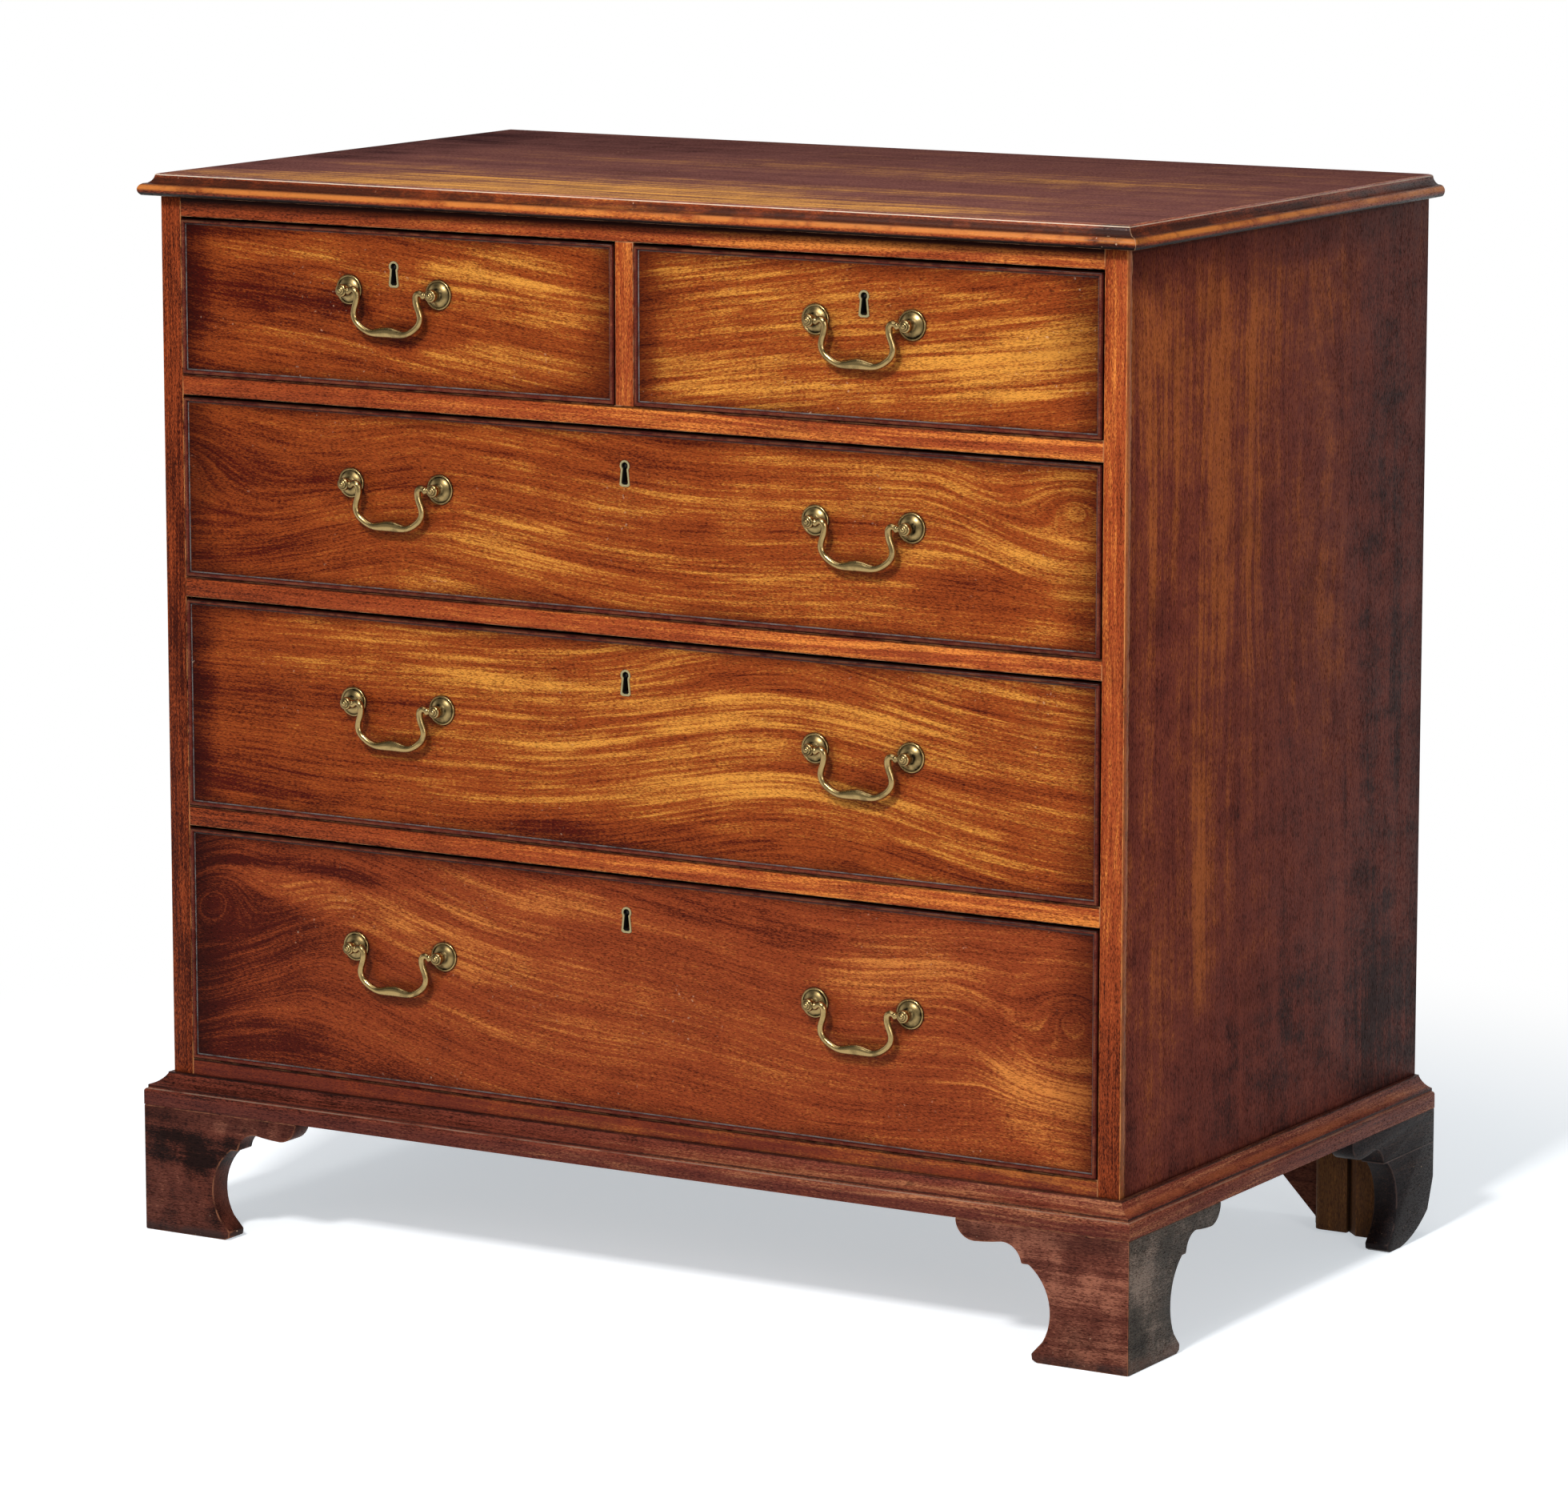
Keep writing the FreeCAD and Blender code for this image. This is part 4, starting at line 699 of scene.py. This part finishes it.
def finish_base():
    arris_height = FOOT_TOP + BAND_RISE
    band = arris_height / MM
    # Courses on the base moulding: a dark line in the quirk above the band as painted shade, a pale line on
    # the band's arris, and a painted shadow line along the moulding's top edge.
    low_front = mahogany(
        "base moulding front", 0, 2, BASE_BROWN, seed=9.4, rub=0.0, darker_to_left=(-0.5, 0.25, 0.34), lightness=0.1,
        roughness=0.4, stain=0.4, courses=(
            (band + 2.6, 1.3, "1a0b09", 0.8, 0.3), (band + 0.7, 0.45, "a08672", 0.6, 0.8),
            (band + 12.6, 0.9, "130908", 0.8, 0.3), (band - 8.5, 8.0, "34181a", 0.4, 0.3)))
    low_side = mahogany(
        "base moulding side", 1, 2, BASE_BROWN, seed=9.9, rub=0.0, roughness=0.44, stain=0.4, lightness=0.06,
        courses=((band + 2.6, 1.3, "160a09", 0.9, 0.2), (band + 0.7, 0.5, "8e6d58", 0.6, 0.6),
                 (band + 6.0, 2.4, "a05a34", 0.35, 0.9), (band + 12.6, 0.9, "130908", 0.8, 0.3)))
    mesh = softened("base_moulding", part_of=run_of_moulding,
                    also_worn=lambda place: abs(place.z - arris_height) < 0.7 * MM)
    finished("base_moulding", mesh, low_front, low_side)


def finish_feet():
    top = FOOT_TOP / MM
    facing = mahogany("foot front", 0, 2, FOOT_BROWN, seed=11.0, stain=0.7, rub=0.7, rubbed="8a5a40",
                      mottle=1.3, bands=0.6, streaks=0.5, threads=0.5, roughness=0.46, lightness=0.16,
                      nicks=0.8, darker_to_left=(-0.4, 0.4, 0.25), patches=FOOT_PATCHES,
                      courses=((2, 7, "3a2c29", 0.75, 0.7), (top - 7, 10, "26100d", 0.4, 0.6)))
    flank = mahogany("foot side", 1, 2, FLANK_BROWN, seed=12.0, stain=0.4, rub=0.6, rubbed="654a38",
                     mottle=1.2, bands=0.4, streaks=0.2, threads=0.2, roughness=0.5, nicks=0.5,
                     lightness=0.12, courses=((0, 14, "6b4a3c", 0.5, 0.7),))
    # The crack on a rear bracket is only painted: a dark line for the crack, and a painted highlight along
    # its lower lip.
    rear_flank = mahogany("rear foot side", 1, 2, REAR_BROWN, seed=12.6, stain=0.4, rub=0.5, rubbed="54433e",
                          mottle=0.4, bands=0.5, streaks=0.5, roughness=0.44, nicks=0.5,
                          courses=((REAR_CRACK, 0.7, "050404", 0.95, 0.1),
                                   (REAR_CRACK - 1.3, 0.5, "6a5650", 0.7, 0.8)))
    for node, side in (("front_feet", flank), ("rear_feet", rear_flank)):
        finished(node, softened(node, WORN_ARRIS, run_of_bracket), facing, side)


def finish_inside():
    woods = {"bottom_board": PINE, "drawer_stops": PINE, "back_boards": PINE_UPRIGHT,
             "foot_blocks": BLOCK_WOOD, "runners": PINE_DEEP, "dust_boards": PINE_DEEP,
             "guide_and_kickers": PINE_DEEP}
    for node, wood in woods.items():
        cover(node, wood)


# ---- drawers ----
# Arches: place along the board, half width, rise.
# Swirls: place along and across, reach, flatness, strength, ring's radius and light.
# The lighter patches of the top right drawer and of the third drawer's right half are partly the wood's
# figure and partly a painted sheen.
FIGURES = {
    "drawer_top_left": dict(slope=-0.1, seed=0.4, patches=[
        (-324, 787, 75, 9, 0.35), (-118, 774, 55, 13, 0.35), (-48, 753, 40, 14, 0.25),
        (-303, 715, 75, 11, 0.35), (-125, 709, 75, 13, 0.28), (-400, 755, 20, 50, -0.3),
        (-296, 741, 60, 9, -0.3), (-358, 749, 40, 9, -0.25), (-188, 725, 40, 8, -0.25),
        (-230, 765, 60, 10, 0.1)]),
    "drawer_top_right": dict(slope=0.14, seed=1.9, lightness=0.05, patches=[
        (78, 781, 60, 12, 0.22), (127, 709, 80, 14, 0.28), (315, 732, 80, 16, 0.34), (364, 757, 45, 10, 0.24),
        (336, 790, 65, 9, -0.3), (14, 755, 14, 60, -0.25), (245, 786, 50, 9, -0.1), (200, 748, 50, 12, 0.12),
        (395, 715, 25, 14, -0.2)]),
    "drawer_second": dict(slope=-0.03, seed=3.3, arches=[(40, 120, -14)], swirls=[
        (-410, 616, 150, 0.6, 0.6, 60, 0.02), (385, 632, 80, 0.6, 0.7, 24, 0.06)], patches=[
        (-55, 575, 90, 20, 0.36), (92, 561, 80, 13, 0.24), (252, 640, 60, 12, 0.12), (0, 612, 80, 16, 0.2),
        (290, 592, 60, 14, 0.25), (22, 653, 60, 13, -0.25), (308, 563, 50, 24, -0.32),
        (50, 598, 30, 11, -0.2), (-330, 560, 90, 18, -0.15), (-200, 630, 120, 25, 0.06),
        (370, 590, 40, 40, 0.08)]),
    "drawer_third": dict(slope=0.0, seed=5.6, lightness=0.05, arches=[(150, 140, 30)], patches=[
        (-180, 495, 170, 9, 0.16), (-187, 470, 150, 9, 0.14), (64, 411, 75, 14, 0.08),
        (-76, 432, 65, 14, 0.15), (60, 464, 90, 22, 0.3), (182, 400, 90, 11, 0.2), (280, 474, 110, 17, 0.22),
        (90, 356, 160, 13, -0.4), (260, 366, 70, 10, 0.15), (273, 423, 90, 7, -0.25),
        (-355, 369, 70, 22, -0.08), (-97, 356, 80, 8, -0.35), (-400, 430, 18, 90, -0.25),
        (370, 385, 40, 20, -0.2)]),
    "drawer_bottom": dict(
        slope=-0.04, seed=8.8, lightness=-0.04, lines=0.02, bands=0.65, streaks=0.65, threads=0.8,
        tones=RED_BROWN, arches=[(-310, 150, 46), (180, 110, -16)], swirls=[
            (-385, 232, 110, 0.8, 0.8, 60, 0.02), (385, 256, 90, 0.9, 0.8, 46, 0.1)], patches=[
            (-305, 290, 50, 14, 0.3), (-250, 274, 50, 15, 0.3), (-195, 258, 50, 15, 0.26),
            (-140, 240, 50, 14, 0.22), (-152, 285, 75, 20, 0.26), (-48, 302, 45, 9, 0.18),
            (245, 271, 65, 28, 0.34), (375, 205, 55, 40, 0.45), (336, 191, 65, 15, 0.2),
            (250, 196, 120, 30, 0.14), (-350, 165, 70, 20, -0.15), (57, 303, 45, 9, -0.22),
            (-330, 306, 110, 7, -0.35), (-330, 250, 60, 30, -0.12), (148, 285, 45, 18, -0.2),
            (-60, 200, 120, 14, 0.12), (-400, 230, 30, 80, -0.15)],
        scratches=[(-300, 215, -262, 182, 2, 0.6, 0.4), (-325, 232, -300, 205, 1, 0.5, 0.35)])}
# Painted shadow along the top of each drawer's bead, under the rail above.
BEAD = mahogany("cockbead", 0, 2, BEAD_BROWN, rub=0.15, rubbed="b5754c", seed=6.6, roughness=0.3, gloss=0.08,
                fibre=0.4, courses=[(FRONTS[name][1].z / MM - 0.6, 1.5, "120605", 0.8, 0.2)
                                    for name in DRAWERS[1:]])


def framed(name, section, low, high, material):
    """A strip with the given section mitred round a rectangle; section lists (inward, out of the front)."""
    shape = bmesh.new()
    arris = shape.faces.layers.float.new("arris")
    corners = ((low.x, low.z, 1, 1), (high.x, low.z, -1, 1), (high.x, high.z, -1, -1), (low.x, high.z, 1, -1))
    rings = [[shape.verts.new((x + dx * inward, FRONT_Y - out, z + dz * inward)) for inward, out in section]
             for x, z, dx, dz in corners]
    nose = 1.9 * MM            # faces further out than this are worn
    for i, ring in enumerate(rings):
        following = rings[(i + 1) % 4]
        for j in range(len(section)):
            k = (j + 1) % len(section)
            face = shape.faces.new((ring[j], ring[k], following[k], following[j]))
            face.smooth = True
            face[arris] = 1.0 if section[j][1] > nose and section[k][1] > nose else 0.0
    bmesh.ops.recalc_face_normals(shape, faces=shape.faces)
    mesh = plain_mesh(shape, name, math.radians(50))
    mesh.materials.append(material)
    return mesh


def bead_section(width, proud, depth):
    """Half-round nose on a flat strip."""
    middle = width / 2
    turns = [math.pi * i / 6 for i in range(7)]
    return [(0, -depth), (width, -depth)] + [
        (middle + middle * math.cos(turn), proud - middle + middle * math.sin(turn)) for turn in turns]


def finish_drawer(name):
    low, high = FRONTS[name]
    figure = {"tones": RED_GOLD, "bands": 0.8, "streaks": 0.95, "threads": 0.9, **FIGURES[name]}
    # corner_from 0.97 lets the corner darkening reach far, so it paints shade behind the bails and beside the
    # beads, as a cast shadow would fall.
    front = mahogany(name + " front", 0, 2, edge=(low, high), darker_to_left=(-0.42, -0.1, 0.24), roughness=0.34,
                     stain=0.15, nicks=0.3, corner_from=0.97, **figure)
    section = bead_section(BEAD_WIDTH, FRONT_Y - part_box(name + "_cockbead")[0].y, BEAD_DEPTH)
    mesh = framed(name + "_bead", section, low, high, BEAD)
    put(name + "_bead", mesh, name + "_cockbead")
    for part, material in (("_front", front), ("_boards", OAK), ("_base", OAK), ("_lock", LINER_BRASS),
                           ("_bolt", IRON)):
        cover(name + part, material)


# ---- handles ----
POST_SPACING = 82 * MM
POST_PROFILE = (  # (out of the drawer front, radius) in millimetres, tarnish
    (0.0, 11.4, 0.9), (0.7, 11.5, 0.6), (1.3, 11.3, 0.1), (1.6, 10.8, 0.0), (1.5, 10.2, 0.3),
    (1.15, 9.8, 1.0), (1.2, 9.4, 0.8), (1.9, 8.3, 0.3), (2.6, 6.9, 0.1), (3.1, 5.6, 0.4), (3.3, 4.7, 0.9),
    (3.7, 4.2, 0.8), (4.6, 3.5, 0.6), (5.8, 3.05, 0.6), (6.8, 3.1, 0.6), (7.4, 3.5, 0.4), (7.9, 4.4, 0.1),
    (8.6, 4.85, 0.0), (10.2, 4.9, 0.2), (12.0, 4.85, 0.0), (12.7, 4.5, 0.0), (13.0, 3.9, 0.2),
    (12.95, 3.4, 1.0), (13.3, 3.2, 0.5), (13.9, 3.0, 0.0), (14.2, 2.5, 0.3), (14.25, 2.0, 1.0),
    (14.9, 1.8, 0.3), (15.3, 1.3, 0.0), (15.5, 0.0, 0.0))
LATHE_STEPS = 40
# Half of the bail from the knob to the middle of the grip: x, z below the pivot, and radius, in millimetres.
BAIL_HALF = (
    (39.5, 0.0, 1.8), (36.2, 0.0, 1.8), (35.6, 0.0, 3.0), (34.6, 0.05, 3.3), (33.7, 0.3, 3.0),
    (33.1, 0.6, 2.4), (31.6, 1.3, 2.5), (29.4, 1.2, 2.6), (27.7, -0.5, 2.65), (27.1, -3.6, 2.6),
    (27.9, -8.4, 2.55), (29.8, -13.6, 2.5), (30.4, -18.4, 2.5), (28.5, -23.0, 2.55), (24.3, -26.9, 2.6),
    (19.0, -29.8, 2.65), (14.5, -31.0, 2.85), (9.5, -30.9, 3.4), (4.5, -30.3, 4.05), (0.0, -30.0, 4.25))
BAIL_LEAN = 0.055              # how far the bail leans in towards the wood, for its drop
BAIL_WIRE = {"Wire radius": 1 * MM, "Step": 0.9 * MM, "Sides": 18, "Finish": BRASS}
GRIP_DEPTH = 2.8               # half thickness of the grip, front to back, in millimetres
GRIP_TOP = 25.0                # the grip starts this far under the pivot, in millimetres


def lathe(profile, steps):
    """A turned shape on an axis along -Y, standing on the drawer front."""
    shape = bmesh.new()
    layer = shape.verts.layers.float.new("tarnish")
    rings = []
    for out, radius, tarnish in profile:
        turns = [2 * math.pi * i / steps for i in range(steps if radius else 1)]
        rings.append([shape.verts.new((radius * MM * math.cos(turn), -out * MM, radius * MM * math.sin(turn)))
                      for turn in turns])
        for vert in rings[-1]:
            vert[layer] = tarnish
    for near, far in zip(rings, rings[1:]):
        for i in range(steps):
            j = (i + 1) % steps
            beyond = (far[0],) if len(far) == 1 else (far[j], far[i])
            shape.faces.new((near[i], near[j], *beyond)).smooth = True
    shape.faces.new(list(reversed(rings[0])))
    bmesh.ops.recalc_face_normals(shape, faces=shape.faces)
    return plain_mesh(shape, "turned_post")


def real_shape(graph, shape, finish):
    """The shape as plain faces of one material."""
    real = graph.out("RealizeInstances", {"Geometry": shape})
    return graph.out("SetMaterial", {"Geometry": real, "Material": finish})


@node_group("Set out copies", "Geometry, Piece, Finish", "Geometry", "GeometryNodeTree")
def SET_OUT(graph, places, piece, finish):
    """Puts a copy of one piece on every given point."""
    pattern = graph.out("ObjectInfo", {"Object": piece}, "Geometry")
    copies = graph.out("InstanceOnPoints", {"Points": places, "Instance": pattern})
    return real_shape(graph, copies, finish)


@node_group("Bail wire", "Geometry, Wire radius, Step, Sides, Finish", "Geometry", "GeometryNodeTree")
def BEND_WIRE(graph, route, radius, step, sides, finish):
    """A round wire along a curve; the curve's own radius swells it at the grip and the beads."""
    fine = graph.out("ResampleCurve", {"Curve": route, "Length": step}, mode="LENGTH")
    circle = graph.out("CurvePrimitiveCircle", {"Resolution": sides, "Radius": radius})
    wire = graph.out("CurveToMesh", {"Curve": fine, "Profile Curve": circle, "Fill Caps": True,
                                     "Scale": graph.out("InputRadius")})
    return real_shape(graph, wire, finish)


def grown(name, data, tree, values):
    """Runs a geometry tree on a start shape and returns its result as a plain mesh."""
    start = link(bpy.data.objects.new(name + "_start", data))
    modifier = start.modifiers.new("Shape", "NODES")
    modifier.node_group = tree
    for item in tree.interface.items_tree:
        if item.in_out == "INPUT" and item.name in values:
            modifier[item.identifier] = values[item.name]
    bpy.context.view_layer.update()
    result = bpy.data.meshes.new_from_object(start.evaluated_get(bpy.context.evaluated_depsgraph_get()))
    bpy.data.objects.remove(start)
    for face in result.polygons:
        face.use_smooth = True
    result.name = name
    return result


def bail_curve(name, pivot):
    curve = bpy.data.curves.new(name, "CURVE")
    curve.dimensions = "3D"
    points = list(BAIL_HALF) + [(-x, z, radius) for x, z, radius in reversed(BAIL_HALF[:-1])]
    spline = curve.splines.new("BEZIER")
    spline.bezier_points.add(len(points) - 1)
    for knot, (x, z, radius) in zip(spline.bezier_points, points):
        knot.co = pivot + Vector((x * MM, max(-z, 0) * BAIL_LEAN * MM, z * MM))
        knot.radius = radius
        knot.handle_left_type = knot.handle_right_type = "AUTO"
    spline.resolution_u = 8
    return curve


def flatten_grip(mesh, pivot):
    """Makes the swollen grip no deeper than the rest of the wire; it keeps its height."""
    reaches = [(abs(x), radius) for x, z, radius in reversed(BAIL_HALF) if z < -GRIP_TOP]
    for vert in mesh.vertices:
        drop = pivot.z - vert.co.z
        reach = abs(vert.co.x - pivot.x) / MM
        if drop < GRIP_TOP * MM or reach > reaches[-1][0]:
            continue
        for (near, near_radius), (far, far_radius) in zip(reaches, reaches[1:]):
            if near <= reach <= far:
                radius = near_radius + (far_radius - near_radius) * (reach - near) / (far - near)
        middle = pivot.y + drop * BAIL_LEAN
        vert.co.y = middle + (vert.co.y - middle) * min(1.0, GRIP_DEPTH / radius)


def finish_handles():
    post = link(bpy.data.objects.new("post_pattern", lathe(POST_PROFILE, LATHE_STEPS)))
    for name in DRAWERS:
        places = [(pivot.x + side * POST_SPACING / 2, FRONT_Y, pivot.z) for bail_name, pivot in PIVOTS.items()
                  if DRAWER_OF[bail_name] == name for side in (-1, 1)]
        spots = bpy.data.meshes.new(name + "_post_places")
        spots.from_pydata(places, [], [])
        mesh = grown(name + "_turned_posts", spots, SET_OUT, {"Piece": post, "Finish": BRASS})
        put(name + "_turned_posts", mesh, name + "_posts")
    for bail_name, pivot in PIVOTS.items():
        mesh = grown(bail_name + "_cast", bail_curve(bail_name + "_route", pivot), BEND_WIRE, BAIL_WIRE)
        flatten_grip(mesh, pivot)
        put(bail_name + "_cast", mesh, bail_name)
    bpy.data.objects.remove(post)


# ---- floor, light and camera ----
FLOOR_REACH = 30.0
FLOOR_COLOUR = (0.83, 0.84, 0.85, 1)
FLOOR_GLOW = 0.51              # brings the floor up to white where nothing shades it
GLOW_COLOUR = (0.93, 1, 1.06, 1)
SHADOW_REACH = (0.62, 1.2)     # between these distances the shadow gives way to plain white
DIM_STUDIO = 0.3               # how bright the studio in front of the chest looks in reflections
DIM_CEILING = 0.12
SOFT_LIGHT = 0.18              # light from all round
CAMERA_PLACE = (2.68918, -4.49847, 1.28899)
CAMERA_TURN = 30.91            # degrees to the left of straight at the front
CAMERA_TILT = 9.80             # degrees below the horizon
FOCAL_PIXELS = 8461.0          # focal length, for a picture this many pixels wide
PICTURE_PIXELS = 1960.0
LAMPS = {  # place, aimed at, width, height, watts
    "key": ((0.6, -3.8, 3.5), (0.0, -0.2, 0.45), 0.55, 0.55, 177),
    "key_soft": ((-0.3, -3.7, 2.8), (0.0, -0.2, 0.45), 2.2, 2.0, 18),
    "overhead": ((0.0, -0.3, 3.4), (0.0, 0.0, 0.4), 2.6, 2.0, 27),
    "fill": ((3.4, -2.2, 1.4), (0.2, 0.0, 0.4), 1.4, 1.6, 30)}


def ray_is(graph, *kinds):
    """1 for the given kinds of ray."""
    total, *others = (graph.out("LightPath", None, f"Is {kind} Ray") for kind in kinds)
    for other in others:
        total = graph.math("MAXIMUM", total, other)
    return total


def make_floor():
    """A floor that keeps the shadow near the chest and is plain white further off."""
    mesh = bpy.data.meshes.new("floor")
    corners = [(x * FLOOR_REACH, y * FLOOR_REACH, 0) for x, y in ((-1, -1), (1, -1), (1, 1), (-1, 1))]
    mesh.from_pydata(corners, [], [(0, 1, 2, 3)])
    floor = link(bpy.data.objects.new("floor", mesh))
    floor.location.z = cad_low.z
    material, graph, place = new_material("floor white")

    def glow(colour, strength):
        return graph.out("Emission", {"Color": colour, "Strength": strength})

    matt = graph.out("BsdfDiffuse", {"Color": FLOOR_COLOUR})
    distance = graph.out("VectorMath", {0: place}, "Value", operation="LENGTH")
    near = graph.out("AddShader", {0: matt, 1: glow(GLOW_COLOUR, FLOOR_GLOW)})
    backdrop = graph.mixed(graph.span(distance, *SHADOW_REACH), near, glow(WHITE, 1.0))
    mirrored = glow(WHITE, graph.span(graph.axes(place)[1], -4.0, -1.2, DIM_STUDIO, 1.0))
    shown = graph.mixed(ray_is(graph, "Camera", "Transmission"), matt, backdrop)
    shown = graph.mixed(ray_is(graph, "Glossy"), shown, mirrored)
    graph.node("OutputMaterial", {"Surface": shown})
    mesh.materials.append(material)


def make_world():
    """White backdrop up to a low height, a dim ceiling over it, and soft light from all round."""
    world = bpy.data.worlds.new("studio")
    graph = emptied(world)
    ways = graph.axes(graph.out("TexCoord", None, "Generated"))
    ceiling = graph.span(ways[2], 0.25, 0.5, 1.0, DIM_CEILING)
    mirrored = ray_is(graph, "Glossy") * (graph.span(ways[1], -0.8, -0.1, DIM_STUDIO, 1.0) * ceiling)
    strength = graph.math("MAXIMUM", ray_is(graph, "Camera", "Transmission"), mirrored)
    dim, backdrop = (graph.out("Background", {"Color": WHITE, "Strength": level})
                     for level in (SOFT_LIGHT, strength))
    shown = graph.mixed(ray_is(graph, "Camera", "Glossy", "Transmission"), dim, backdrop)
    graph.node("OutputWorld", {"Surface": shown})
    bpy.context.scene.world = world


def make_lights():
    for name, (place, target, width, height, watts) in LAMPS.items():
        lamp = bpy.data.lights.new(name, "AREA")
        lamp.shape = "RECTANGLE"
        lamp.size, lamp.size_y = width, height
        lamp.energy = watts
        holder = link(bpy.data.objects.new(name, lamp))
        holder.location = place
        holder.rotation_euler = (Vector(target) - Vector(place)).to_track_quat("-Z", "Y").to_euler()


def make_camera():
    data = bpy.data.cameras.new("camera")
    data.sensor_width = 36.0
    data.sensor_fit = "HORIZONTAL"
    data.lens = FOCAL_PIXELS / PICTURE_PIXELS * data.sensor_width
    data.clip_start, data.clip_end = 0.1, 100.0
    camera = link(bpy.data.objects.new("camera", data))
    camera.location = CAMERA_PLACE
    camera.rotation_euler = (math.radians(90 - CAMERA_TILT), 0, math.radians(CAMERA_TURN))
    bpy.context.scene.camera = camera


finish_top()
finish_carcass_front()
finish_sides()
finish_base()
finish_feet()
finish_inside()
for drawer in DRAWERS:
    finish_drawer(drawer)
finish_handles()
make_floor()
make_world()
make_lights()
make_camera()
bpy.context.scene.view_settings.view_transform = "Standard"
